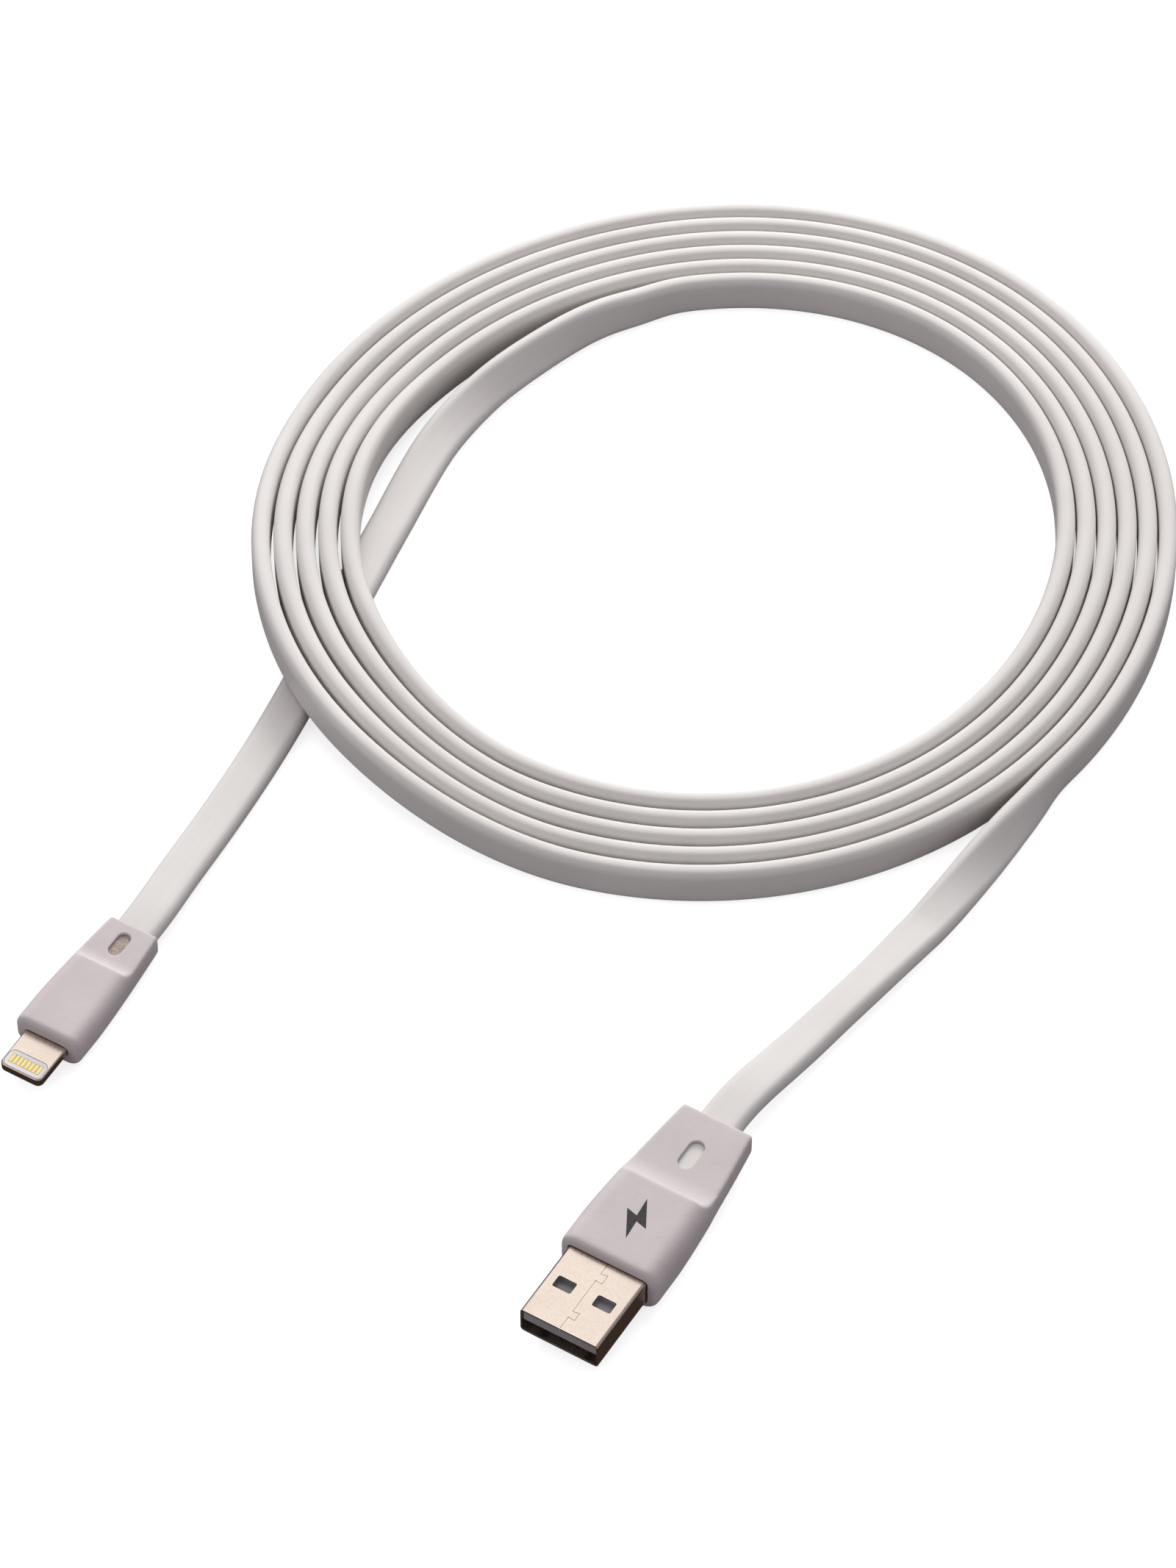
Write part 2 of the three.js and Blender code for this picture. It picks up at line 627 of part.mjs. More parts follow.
function coilRadius(angle) {
  const turn = angle / 360;
  const oval = ovals.reduce((sum, wave) => (
    sum + wave.size * Math.cos(radians(wave.waves * angle - wave.phase))
  ), 0);
  const loosening = spread.size * (turn - spread.middleTurn) * Math.cos(radians(angle - spread.phase));
  return coil.radius - coil.pitch * turn + oval + loosening;
}

function humpHeight(angle, radius, top) {
  const wrapped = ((angle % 360) + 360) % 360;
  const away = Math.abs(wrapped - (hump.angle + (radius - hump.radius) * hump.anglePerMm));
  return top * (1 - THREE.MathUtils.smoothstep(away, hump.flat, hump.flat + hump.ramp));
}

// A ring of the coil's outer shape. Its outside steps out where the first turn starts, and its
// inside steps in until the last turn ends.
function coilRing() {
  const stepAngle = 0.4;
  const turns = 5;
  const endAngle = coil.endAngle - 360 * turns;
  const beforeEnd = 31;
  const afterEnd = 47;
  const angles = [];
  for (let i = 0; i <= beforeEnd; i += 1) {
    angles.push(THREE.MathUtils.lerp(coil.startAngle, endAngle, i / beforeEnd));
  }
  for (let i = 0; i <= afterEnd; i += 1) {
    angles.push(THREE.MathUtils.lerp(endAngle + stepAngle, coil.startAngle + 360 - stepAngle, i / afterEnd));
  }
  const count = angles.length;

  // The section is drawn on a plain ring first, and each side then moves out to its own face
  const half = ribbon.thickness / 2;
  const { width: height, corner } = ribbon;
  const plainRadius = 50;
  const reach = 2 * corner;
  const section = roundedRectangle(2 * reach, height, corner);
  const profile = section.getPoints(1).map((point) => (
    new THREE.Vector2(point.x + plainRadius, point.y + height / 2)
  ));
  const geometry = new THREE.LatheGeometry(profile, count).rotateX(Math.PI / 2);

  const position = geometry.attributes.position;
  for (let i = 0; i < position.count; i += 1) {
    const [x, y, z] = [position.getX(i), position.getY(i), position.getZ(i)];
    const share = Math.atan2(y, x) / (Math.PI * 2);
    const index = ((Math.round(share * count) % count) + count) % count;
    const angle = angles[index];
    const offset = Math.hypot(x, y) - plainRadius;
    const lastTurn = index <= beforeEnd ? turns : turns - 1;
    const outerFace = coilRadius(angle) + half;
    const innerFace = coilRadius(angle + 360 * lastTurn) - half;
    const radius = offset > 0 ? outerFace + offset - reach : innerFace + offset + reach;
    const lifted = z + humpHeight(angle, radius, ribbon.thickness + meetGap);
    position.setXYZ(i, radius * Math.cos(radians(angle)), radius * Math.sin(radians(angle)), lifted);
  }
  geometry.computeVertexNormals();
  return geometry.translate(coil.x, coil.y, 0);
}

function coilPoint(angle, twist) {
  const radius = coilRadius(angle);
  return [
    coil.x + radius * Math.cos(radians(angle)), coil.y + radius * Math.sin(radians(angle)), twist, 0,
  ];
}

// Points inside and just outside a grip, on the plug's own axis
function plugPoints({ plug, jacketEnd, height }, twist) {
  plug.updateMatrixWorld();
  const under = height - ribbon.thickness / 2 - floorFit;
  return [jacketEnd, jacketEnd / 2, 0, -2.5].map((x) => {
    const point = new THREE.Vector3(x, 0, 0).applyMatrix4(plug.matrixWorld);
    return [point.x, point.y, twist, under];
  });
}

function ribbonLength(route, steps) {
  const corner = cornerWithin(ribbon.width, ribbon.thickness, ribbon.corner);
  const sideways = ribbon.width / 2 - corner;
  const through = ribbon.thickness / 2 - corner;
  const centres = route.map(([x, y, twist, under]) => {
    const angle = radians(twist);
    const half = sideways * Math.abs(Math.sin(angle)) + through * Math.abs(Math.cos(angle)) + corner;
    return new THREE.Vector3(x, y, under + floorFit + half);
  });
  const twistAt = (t) => {
    const at = t * (route.length - 1);
    const i = Math.min(Math.floor(at), route.length - 2);
    return radians(THREE.MathUtils.lerp(route[i][2], route[i + 1][2], at - i));
  };
  const section = roundedRectangle(ribbon.width, ribbon.thickness, corner);
  return sweep(section, new THREE.CatmullRomCurve3(centres), steps, 1, twistAt);
}

const cable = new THREE.Group();
const usb = usbPlug();
const phone = phonePlug();
cable.add(usb.plug, phone.plug);

const stepBack = THREE.MathUtils.radToDeg(meetGap / coil.radius) + 0.4;
const usbLength = [...plugPoints(usb, 0), ...usbRoute, coilPoint(coil.startAngle - stepBack, 86)];
const tipLength = [coilPoint(coil.endAngle + stepBack, 92), ...tipRoute, ...plugPoints(phone, 180).reverse()];
piece(cable, 'cable_length_usb', ribbonLength(usbLength, 22), finishes.jacket());
piece(cable, 'cable_coil', coilRing(), finishes.jacket());
piece(cable, 'cable_length_tip', ribbonLength(tipLength, 40), finishes.jacket());

export default cable;
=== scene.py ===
import bpy, bmesh, math
import numpy as np
from mathutils import Matrix, Vector


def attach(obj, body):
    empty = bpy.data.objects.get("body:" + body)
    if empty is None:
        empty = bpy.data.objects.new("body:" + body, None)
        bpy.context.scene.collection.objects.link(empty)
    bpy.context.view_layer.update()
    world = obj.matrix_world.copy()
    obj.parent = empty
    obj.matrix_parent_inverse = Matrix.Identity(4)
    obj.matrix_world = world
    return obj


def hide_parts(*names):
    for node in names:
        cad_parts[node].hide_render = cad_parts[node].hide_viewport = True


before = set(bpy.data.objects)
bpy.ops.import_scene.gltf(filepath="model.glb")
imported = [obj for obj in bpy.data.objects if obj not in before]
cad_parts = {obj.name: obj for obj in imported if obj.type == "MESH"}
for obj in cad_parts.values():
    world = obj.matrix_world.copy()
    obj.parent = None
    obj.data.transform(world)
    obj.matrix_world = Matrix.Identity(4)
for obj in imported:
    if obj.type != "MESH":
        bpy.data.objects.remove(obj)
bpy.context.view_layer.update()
mm = 0.001

# camera
view = {
    "target": (-0.0028, -0.00387, 0), "distance": 0.981, "elevation": 50, "lens": 160.34, "sensor": 36,
    "clipEnd": 20,
}


def addCamera():
    tilt = math.radians(view["elevation"])
    target = Vector(view["target"])
    place = target + view["distance"] * Vector((0, -math.cos(tilt), math.sin(tilt)))
    bpy.ops.object.camera_add(location=place, rotation=(math.pi / 2 - tilt, 0, 0))
    camera = bpy.context.object
    camera.name = "camera"
    camera.data.sensor_fit = "VERTICAL"
    camera.data.sensor_height = view["sensor"]
    camera.data.lens = view["lens"]
    camera.data.clip_end = view["clipEnd"]
    bpy.context.scene.camera = camera


addCamera()
print("camera placed")

# small helpers

def deselectAll():
    if bpy.context.object and bpy.context.object.mode != "OBJECT":
        bpy.ops.object.mode_set(mode="OBJECT")
    bpy.ops.object.select_all(action="DESELECT")


def makeActive(piece):
    deselectAll()
    piece.select_set(True)
    bpy.context.view_layer.objects.active = piece


def cube(name, size, centre):
    deselectAll()
    bpy.ops.mesh.primitive_cube_add(size=1, location=centre, scale=size)
    bpy.ops.object.transform_apply(location=True, rotation=True, scale=True)
    piece = bpy.context.object
    piece.name = name
    return piece


def pickVerts(test):
    bpy.ops.mesh.select_mode(type="VERT")
    bpy.ops.mesh.select_all(action="DESELECT")
    mesh = bmesh.from_edit_mesh(bpy.context.object.data)
    for vert in mesh.verts:
        vert.select_set(test(vert.co))
    mesh.select_flush(True)
    bmesh.update_edit_mesh(bpy.context.object.data)


def pickEdges(test):
    bpy.ops.mesh.select_mode(type="EDGE")
    bpy.ops.mesh.select_all(action="DESELECT")
    mesh = bmesh.from_edit_mesh(bpy.context.object.data)
    mesh.normal_update()
    for edge in mesh.edges:
        edge.select_set(test(edge))
    bmesh.update_edit_mesh(bpy.context.object.data)


def pickFaces(test):
    bpy.ops.mesh.select_mode(type="FACE")
    bpy.ops.mesh.select_all(action="DESELECT")
    mesh = bmesh.from_edit_mesh(bpy.context.object.data)
    mesh.normal_update()
    for face in mesh.faces:
        face.select_set(test(face.calc_center_median(), face.normal))
    bmesh.update_edit_mesh(bpy.context.object.data)


def runsAlong(edge, axis):
    line = edge.verts[1].co - edge.verts[0].co
    return abs(line[axis]) > 0.999 * line.length


def roundBar(name, length, width, height, corner, start, segments=8):
    piece = cube(name, (length, width, height), (start + length / 2, 0, 0))
    bpy.ops.object.mode_set(mode="EDIT")
    pickEdges(lambda edge: runsAlong(edge, 0))
    bpy.ops.mesh.bevel(offset=corner, segments=segments, affect="EDGES")
    bpy.ops.object.mode_set(mode="OBJECT")
    return piece


def roundPlate(name, length, width, corner, centre, low, high, segments=8):
    piece = cube(name, (length, width, high - low), (centre[0], centre[1], (low + high) / 2))
    bpy.ops.object.mode_set(mode="EDIT")
    pickEdges(lambda edge: runsAlong(edge, 2))
    bpy.ops.mesh.bevel(offset=corner, segments=segments, affect="EDGES")
    bpy.ops.object.mode_set(mode="OBJECT")
    return piece


def boolean(piece, tools, operation="DIFFERENCE"):
    for tool in tools:
        makeActive(piece)
        step = piece.modifiers.new("cut", "BOOLEAN")
        step.operation = operation
        step.solver = "EXACT"
        step.object = tool
        bpy.ops.object.modifier_apply(modifier=step.name)
        bpy.data.objects.remove(tool, do_unlink=True)
    makeActive(piece)


def bevelSharp(piece, width, angle=35, segments=3):
    makeActive(piece)
    step = piece.modifiers.new("soften", "BEVEL")
    step.width = width
    step.segments = segments
    step.limit_method = "ANGLE"
    step.angle_limit = math.radians(angle)
    step.use_clamp_overlap = True
    bpy.ops.object.modifier_apply(modifier=step.name)


def mergeDoubles(piece, distance=0.001):
    makeActive(piece)
    bpy.ops.object.mode_set(mode="EDIT")
    bpy.ops.mesh.select_all(action="SELECT")
    bpy.ops.mesh.remove_doubles(threshold=distance)
    bpy.ops.mesh.normals_make_consistent(inside=False)
    bpy.ops.object.mode_set(mode="OBJECT")


def intoPlace(piece, plug):
    piece.matrix_world = plug["matrix"] @ Matrix.Scale(mm, 4)
    makeActive(piece)
    bpy.ops.object.transform_apply(location=True, rotation=True, scale=True)


def finishPiece(piece, name, material, nodes, smoothAngle=35, weighted=True):
    piece.name = name
    piece.data.name = name
    makeActive(piece)
    bpy.ops.object.shade_smooth_by_angle(angle=math.radians(smoothAngle))
    if weighted:
        step = piece.modifiers.new("flatFaces", "WEIGHTED_NORMAL")
        step.keep_sharp = True
        bpy.ops.object.modifier_apply(modifier=step.name)
    piece.data.materials.clear()
    piece.data.materials.append(material)
    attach(piece, "root")
    if nodes:
        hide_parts(*nodes)
    return piece


# shared effects

def nodeGroup(name, inputs, outputs):
    group = bpy.data.node_groups.new(name, "ShaderNodeTree")
    for label, value in inputs:
        socket = group.interface.new_socket(name=label, in_out="INPUT", socket_type="NodeSocketFloat")
        socket.default_value = value
    for label in outputs:
        group.interface.new_socket(name=label, in_out="OUTPUT", socket_type="NodeSocketFloat")
    return group, group.nodes.new("NodeGroupInput"), group.nodes.new("NodeGroupOutput")


def maths(tree, operation, first, second=None):
    node = tree.nodes.new("ShaderNodeMath")
    node.operation = operation
    for socket, value in zip(node.inputs, (first, second)):
        if value is None:
            continue
        if isinstance(value, (int, float)):
            socket.default_value = value
        else:
            tree.links.new(value, socket)
    return node.outputs[0]


def noise(tree, vector, scale, detail=3, roughness=0.5):
    node = tree.nodes.new("ShaderNodeTexNoise")
    node.inputs["Detail"].default_value = detail
    node.inputs["Roughness"].default_value = roughness
    tree.links.new(vector, node.inputs["Vector"])
    if isinstance(scale, (int, float)):
        node.inputs["Scale"].default_value = scale
    else:
        tree.links.new(scale, node.inputs["Scale"])
    return node.outputs["Fac"]


def mouldGrainGroup():
    group, given, out = nodeGroup(
        "mouldGrain", [("Grain Scale", 3000), ("Blotch Scale", 120)], ["Height", "Tone", "Gloss"])
    place = group.nodes.new("ShaderNodeTexCoord").outputs["Object"]
    grain = noise(group, place, given.outputs["Grain Scale"], 3, 0.6)
    coarse = maths(group, "MULTIPLY", given.outputs["Grain Scale"], 0.37)
    pits = noise(group, place, coarse, 2, 0.5)
    height = maths(group, "ADD", maths(group, "MULTIPLY", grain, 0.6),
                   maths(group, "MULTIPLY", pits, 0.4))
    tone = noise(group, place, given.outputs["Blotch Scale"], 4, 0.55)
    gloss = maths(group, "ADD", maths(group, "MULTIPLY", tone, 0.5), maths(group, "MULTIPLY", pits, 0.5))
    for label, value in (("Height", height), ("Tone", tone), ("Gloss", gloss)):
        group.links.new(value, out.inputs[label])
    return group


def edgeWearGroup():
    group, given, out = nodeGroup("edgeWear", [("Reach", 0.0004), ("Breakup", 900)], ["Mask"])
    bevel = group.nodes.new("ShaderNodeBevel")
    bevel.samples = 4
    group.links.new(given.outputs["Reach"], bevel.inputs["Radius"])
    flat = group.nodes.new("ShaderNodeNewGeometry")
    dot = group.nodes.new("ShaderNodeVectorMath")
    dot.operation = "DOT_PRODUCT"
    group.links.new(bevel.outputs["Normal"], dot.inputs[0])
    group.links.new(flat.outputs["Normal"], dot.inputs[1])
    edge = maths(group, "MULTIPLY", maths(group, "SUBTRACT", 1, dot.outputs["Value"]), 5)
    place = group.nodes.new("ShaderNodeTexCoord").outputs["Object"]
    broken = maths(group, "MULTIPLY", edge, noise(group, place, given.outputs["Breakup"], 3, 0.6))
    mask = maths(group, "MINIMUM", broken, 1)
    group.links.new(mask, out.inputs["Mask"])
    return group


mouldGrain = mouldGrainGroup()
edgeWear = edgeWearGroup()


def newMaterial(name, **values):
    material = bpy.data.materials.new(name)
    material.use_nodes = True
    shader = material.node_tree.nodes["Principled BSDF"]
    for label, value in values.items():
        shader.inputs[label.replace("_", " ")].default_value = value
    return material, material.node_tree, shader


def mix(tree, factor, first, second):
    node = tree.nodes.new("ShaderNodeMix")
    node.data_type = "RGBA"
    tree.links.new(factor, node.inputs["Factor"])
    for socket, value in ((node.inputs[6], first), (node.inputs[7], second)):
        if isinstance(value, tuple):
            socket.default_value = (*value, 1)
        else:
            tree.links.new(value, socket)
    return node.outputs[2]


def ramp(tree, value, low, high):
    node = tree.nodes.new("ShaderNodeMapRange")
    node.inputs["To Min"].default_value = low
    node.inputs["To Max"].default_value = high
    node.inputs["From Min"].default_value = 0.3
    node.inputs["From Max"].default_value = 0.7
    tree.links.new(value, node.inputs["Value"])
    return node.outputs["Result"]


def bump(tree, shader, height, strength, distance):
    node = tree.nodes.new("ShaderNodeBump")
    node.inputs["Strength"].default_value = strength
    node.inputs["Distance"].default_value = distance
    tree.links.new(height, node.inputs["Height"])
    tree.links.new(node.outputs["Normal"], shader.inputs["Normal"])
    return node


def placed(tree, group, **values):
    node = tree.nodes.new("ShaderNodeGroup")
    node.node_tree = group
    for label, value in values.items():
        node.inputs[label.replace("_", " ")].default_value = value
    return node


def mouldedMaterial(name, dark, light, grain, depth, rough, blotch=120, strength=0.5, **values):
    material, tree, shader = newMaterial(name, **values)
    surface = placed(tree, mouldGrain, Grain_Scale=grain, Blotch_Scale=blotch)
    colour = mix(tree, ramp(tree, surface.outputs["Tone"], 0, 1), dark, light)
    tree.links.new(colour, shader.inputs["Base Color"])
    tree.links.new(ramp(tree, surface.outputs["Gloss"], *rough), shader.inputs["Roughness"])
    bump(tree, shader, surface.outputs["Height"], strength, depth)
    return material


def metalMaterial(name, dark, light, worn, grain, depth, rough, reach=0.0003, strength=0.4, **values):
    material, tree, shader = newMaterial(name, Metallic=1, **values)
    surface = placed(tree, mouldGrain, Grain_Scale=grain, Blotch_Scale=260)
    edge = placed(tree, edgeWear, Reach=reach, Breakup=1500)
    base = mix(tree, ramp(tree, surface.outputs["Height"], 0, 1), dark, light)
    tree.links.new(mix(tree, edge.outputs["Mask"], base, worn), shader.inputs["Base Color"])
    tree.links.new(ramp(tree, surface.outputs["Gloss"], *rough), shader.inputs["Roughness"])
    bump(tree, shader, surface.outputs["Height"], strength, depth)
    return material


# materials

def jacketMaterial():
    material, tree, shader = newMaterial("jacketElastomer", IOR=1.48)
    surface = placed(tree, mouldGrain, Grain_Scale=4200, Blotch_Scale=70)
    along = tree.nodes.new("ShaderNodeUVMap")
    along.uv_map = "length"
    stretch = tree.nodes.new("ShaderNodeMapping")
    stretch.inputs["Scale"].default_value = (1, 0.02, 1)
    tree.links.new(along.outputs["UV"], stretch.inputs["Vector"])
    lines = noise(tree, stretch.outputs["Vector"], 1400, 2, 0.5)
    tone = maths(tree, "ADD", maths(tree, "MULTIPLY", surface.outputs["Tone"], 0.7),
                 maths(tree, "MULTIPLY", lines, 0.3))
    colour = mix(tree, ramp(tree, tone, 0, 1), (0.7, 0.67, 0.64), (0.765, 0.738, 0.708))
    tree.links.new(colour, shader.inputs["Base Color"])
    tree.links.new(ramp(tree, surface.outputs["Gloss"], 0.4, 0.5), shader.inputs["Roughness"])
    height = maths(tree, "ADD", maths(tree, "MULTIPLY", surface.outputs["Height"], 0.5),
                   maths(tree, "MULTIPLY", lines, 0.5))
    bump(tree, shader, height, 0.25, 0.00002)
    return material


materials = {
    "jacket": jacketMaterial(),
    "grip": mouldedMaterial("gripPlastic", (0.59, 0.53, 0.53), (0.65, 0.59, 0.588), 3600, 0.00008,
                            (0.5, 0.66), strength=0.6, IOR=1.48),
    "innerMould": mouldedMaterial("innerMouldPlastic", (0.62, 0.6, 0.55), (0.7, 0.68, 0.63),
                                  2500, 0.00004, (0.4, 0.55)),
    "tongue": mouldedMaterial("tonguePlastic", (0.3, 0.29, 0.3), (0.37, 0.355, 0.365), 5000, 0.00002,
                              (0.32, 0.45)),
    "insulator": mouldedMaterial("insulatorPlastic", (0.8, 0.76, 0.77), (0.87, 0.83, 0.84), 6000, 0.00001,
                                 (0.25, 0.35)),
    "board": mouldedMaterial("boardLaminate", (0.01, 0.07, 0.03), (0.02, 0.13, 0.06), 4000, 0.00001,
                             (0.25, 0.4)),
    "chip": mouldedMaterial("chipCompound", (0.012, 0.012, 0.013), (0.022, 0.022, 0.024), 8000, 0.00001,
                            (0.45, 0.6)),
    "capacitor": mouldedMaterial("capacitorCeramic", (0.3, 0.2, 0.1), (0.42, 0.28, 0.15), 6000, 0.00001,
                                 (0.3, 0.45)),
    "foil": mouldedMaterial("bondingFoil", (0.27, 0.205, 0.17), (0.55, 0.46, 0.4), 5200, 0.00012,
                            (0.4, 0.6), blotch=2400, strength=0.8),
    "ink": mouldedMaterial("printInk", (0.022, 0.02, 0.021), (0.06, 0.056, 0.058), 5200, 0.00003,
                           (0.55, 0.7), blotch=2600),
    "plating": metalMaterial("champagnePlating", (0.56, 0.47, 0.4), (0.72, 0.63, 0.545),
                             (0.8, 0.71, 0.62), 6500, 0.00002, (0.2, 0.34)),
    "gold": metalMaterial("goldPlating", (0.78, 0.5, 0.13), (0.93, 0.68, 0.25), (0.95, 0.75, 0.35),
                          7000, 0.00001, (0.16, 0.28)),
    "tin": metalMaterial("dullTin", (0.42, 0.42, 0.43), (0.58, 0.58, 0.58), (0.7, 0.7, 0.7),
                         5000, 0.00002, (0.3, 0.45)),
}
wireColours = {
    "power": ((0.3, 0.02, 0.018), (0.42, 0.04, 0.03)),
    "data_minus": ((0.66, 0.65, 0.61), (0.76, 0.75, 0.71)),
    "data_plus": ((0.02, 0.15, 0.05), (0.035, 0.22, 0.08)),
    "ground": ((0.012, 0.012, 0.014), (0.024, 0.024, 0.026)),
}
for kind, (dark, light) in wireColours.items():
    materials["wire_" + kind] = mouldedMaterial("insulation_" + kind, dark, light,
                                                3000, 0.00001, (0.28, 0.4))
print("materials made")

# the plugs' places

def plugPlace(x, y, height, heading):
    matrix = Matrix.Translation((x, y, height)) @ Matrix.Rotation(math.radians(heading), 4, "Z")
    return {"matrix": matrix, "exit": Vector((x, y, height))}


usb = plugPlace(0.0147, -0.0671, 0.0038, -121.5)
tip = plugPlace(-0.0651, -0.0331, 0.0028, -120.7)

# cable
ribbon = {"width": 0.0062, "thickness": 0.0027, "corner": 0.0012, "step": 0.0013, "cornerSteps": 6}
jacketEnds = {"usb": 16.2, "tip": 9.7}  # how far the jacket runs into each grip, in millimetres
coil = {
    "centre": (0.015, 0.0407), "radius": 0.0658, "pitch": 0.00307, "start": -44, "end": 1898, "step": 4,
}
ovals = ((1, 0.00133, -71), (2, 0.00153, 80), (3, 0.00047, 143))  # waves a turn, size and phase
spread = {"size": 0.00021, "middleTurn": 2.5, "phase": 53}
hump = {"angle": 188, "radius": 0.051, "anglePerMetre": 1240, "flat": 11, "ramp": 37, "height": 0.0027}
floorFit = 0.00005

# x, y, twist in degrees (0 flat, 90 on edge) and height under the ribbon
usbRoute = [
    (0.0192, -0.0605, 0, 0.0021),
    (0.0226, -0.0562, -4, 0.0011),
    (0.0263, -0.0517, -8, 0.0003),
    (0.03, -0.0473, -12, 0),
    (0.0339, -0.0429, -14, 0),
    (0.0377, -0.0384, -12, 0),
    (0.0414, -0.0338, -6, 0),
    (0.0452, -0.029, 4, 0),
    (0.0488, -0.0242, 18, 0),
    (0.0524, -0.0193, 36, 0),
    (0.0559, -0.0145, 56, 0),
    (0.0593, -0.0099, 74, 0),
]
tipRoute = [
    (0.0047, 0.0859, 96, 0),
    (0.0005, 0.0843, 102, 0),
    (-0.0031, 0.0823, 108, 0),
    (-0.0068, 0.0796, 116, 0),
    (-0.0104, 0.0766, 124, 0),
    (-0.0139, 0.0735, 132, 0),
    (-0.0172, 0.0702, 141, 0),
    (-0.0201, 0.0666, 150, 0),
    (-0.0228, 0.0628, 158, 0),
    (-0.0252, 0.0587, 165, 0),
    (-0.0272, 0.0543, 171, 0),
    (-0.0291, 0.0497, 176, 0),
    (-0.0309, 0.0451, 180, 0),
    (-0.0348, 0.0353, 180, 0),
    (-0.0388, 0.0249, 180, 0),
    (-0.0428, 0.0143, 180, 0),
    (-0.0468, 0.0045, 180, 0),
    (-0.051, -0.0048, 180, 0.0001),
    (-0.0553, -0.0136, 180, 0.0003),
    (-0.0595, -0.0219, 180, 0.0007),
]


def wave(angle, waves, phase):
    return math.cos(math.radians(waves * angle - phase))


def coilRadius(angle):
    turn = angle / 360
    oval = sum(size * wave(angle, waves, phase) for waves, size, phase in ovals)
    loosening = spread["size"] * (turn - spread["middleTurn"]) * wave(angle, 1, spread["phase"])
    return coil["radius"] - coil["pitch"] * turn + oval + loosening


def smooth(share):
    share = min(max(share, 0), 1)
    return share * share * (3 - 2 * share)


def coilPoint(angle):
    radius = coilRadius(angle)
    middle = hump["angle"] + (radius - hump["radius"]) * hump["anglePerMetre"]
    away = abs(angle % 360 - middle)
    under = hump["height"] * (1 - smooth((away - hump["flat"]) / hump["ramp"]))
    turn = math.radians(angle)
    x = coil["centre"][0] + radius * math.cos(turn)
    y = coil["centre"][1] + radius * math.sin(turn)
    return (x, y, 90, under)


def plugPoints(plug, jacketEnd, twist):
    points = []
    for along in (jacketEnd, jacketEnd / 2, 0, -2.5):
        point = plug["matrix"] @ Vector((along * mm, 0, 0))
        points.append((point.x, point.y, twist, point.z - ribbon["thickness"] / 2 - floorFit))
    return points


def wholeRoute():
    turns = [coilPoint(angle) for angle in range(coil["start"], coil["end"] + 1, coil["step"])]
    start = plugPoints(usb, jacketEnds["usb"], 0)
    end = plugPoints(tip, jacketEnds["tip"], 180)
    return np.array(start + usbRoute + turns + tipRoute + end[::-1])


def centreHeight(twist, under):
    angle = np.radians(twist)
    sideways = ribbon["width"] / 2 - ribbon["corner"]
    through = ribbon["thickness"] / 2 - ribbon["corner"]
    half = sideways * np.abs(np.sin(angle)) + through * np.abs(np.cos(angle)) + ribbon["corner"]
    return under + floorFit + half


def smoothPath(route, step):
    # one cubic through each pair of points, its slopes taken from the points on either side
    gaps = np.linalg.norm(np.diff(route[:, :2], axis=0), axis=1)
    slopes = np.diff(route, axis=0) / gaps[:, None]
    before, after = gaps[:-1, None], gaps[1:, None]
    inner = (slopes[:-1] * after + slopes[1:] * before) / (before + after)
    tangents = np.vstack([slopes[:1], inner, slopes[-1:]])
    rows = []
    for i, gap in enumerate(gaps):
        pieces = max(int(round(gap / (step / 4))), 2)
        t = (np.arange(pieces) / pieces)[:, None]
        rows.append(
            (2 * t**3 - 3 * t**2 + 1) * route[i] + (t**3 - 2 * t**2 + t) * gap * tangents[i]
            + (3 * t**2 - 2 * t**3) * route[i + 1] + (t**3 - t**2) * gap * tangents[i + 1])
    rows = np.vstack(rows + [route[-1:]])
    along = np.concatenate([[0], np.cumsum(np.linalg.norm(np.diff(rows[:, :2], axis=0), axis=1))])
    even = np.linspace(0, along[-1], int(along[-1] / step) + 1)
    even = np.stack([np.interp(even, along, column) for column in rows.T], axis=1)
    weights = np.array([1, 4, 8, 10, 8, 4, 1]) / 36  # takes the last kinks out of the curve
    padded = np.vstack([even[:1]] * 3 + [even] + [even[-1:]] * 3)
    soft = sum(w * padded[k:k + len(even)] for k, w in enumerate(weights))
    soft[:4], soft[-4:] = even[:4], even[-4:]
    return soft


def ribbonSection():
    half = (ribbon["width"] / 2, ribbon["thickness"] / 2)
    r, steps = ribbon["corner"], ribbon["cornerSteps"]
    points = []
    for quarter, (sx, sy) in enumerate(((1, 1), (-1, 1), (-1, -1), (1, -1))):
        for i in range(steps + 1):
            angle = math.pi / 2 * (quarter + i / steps)
            x = sx * (half[0] - r) + r * math.cos(angle)
            y = sy * (half[1] - r) + r * math.sin(angle)
            points.append((x, y))
        if sx * sy > 0:  # the broad faces get two more points each, so that they stay flat
            points += [(sx * (half[0] - r) * share, sy * half[1]) for share in (0.82, -0.82)]
    return points


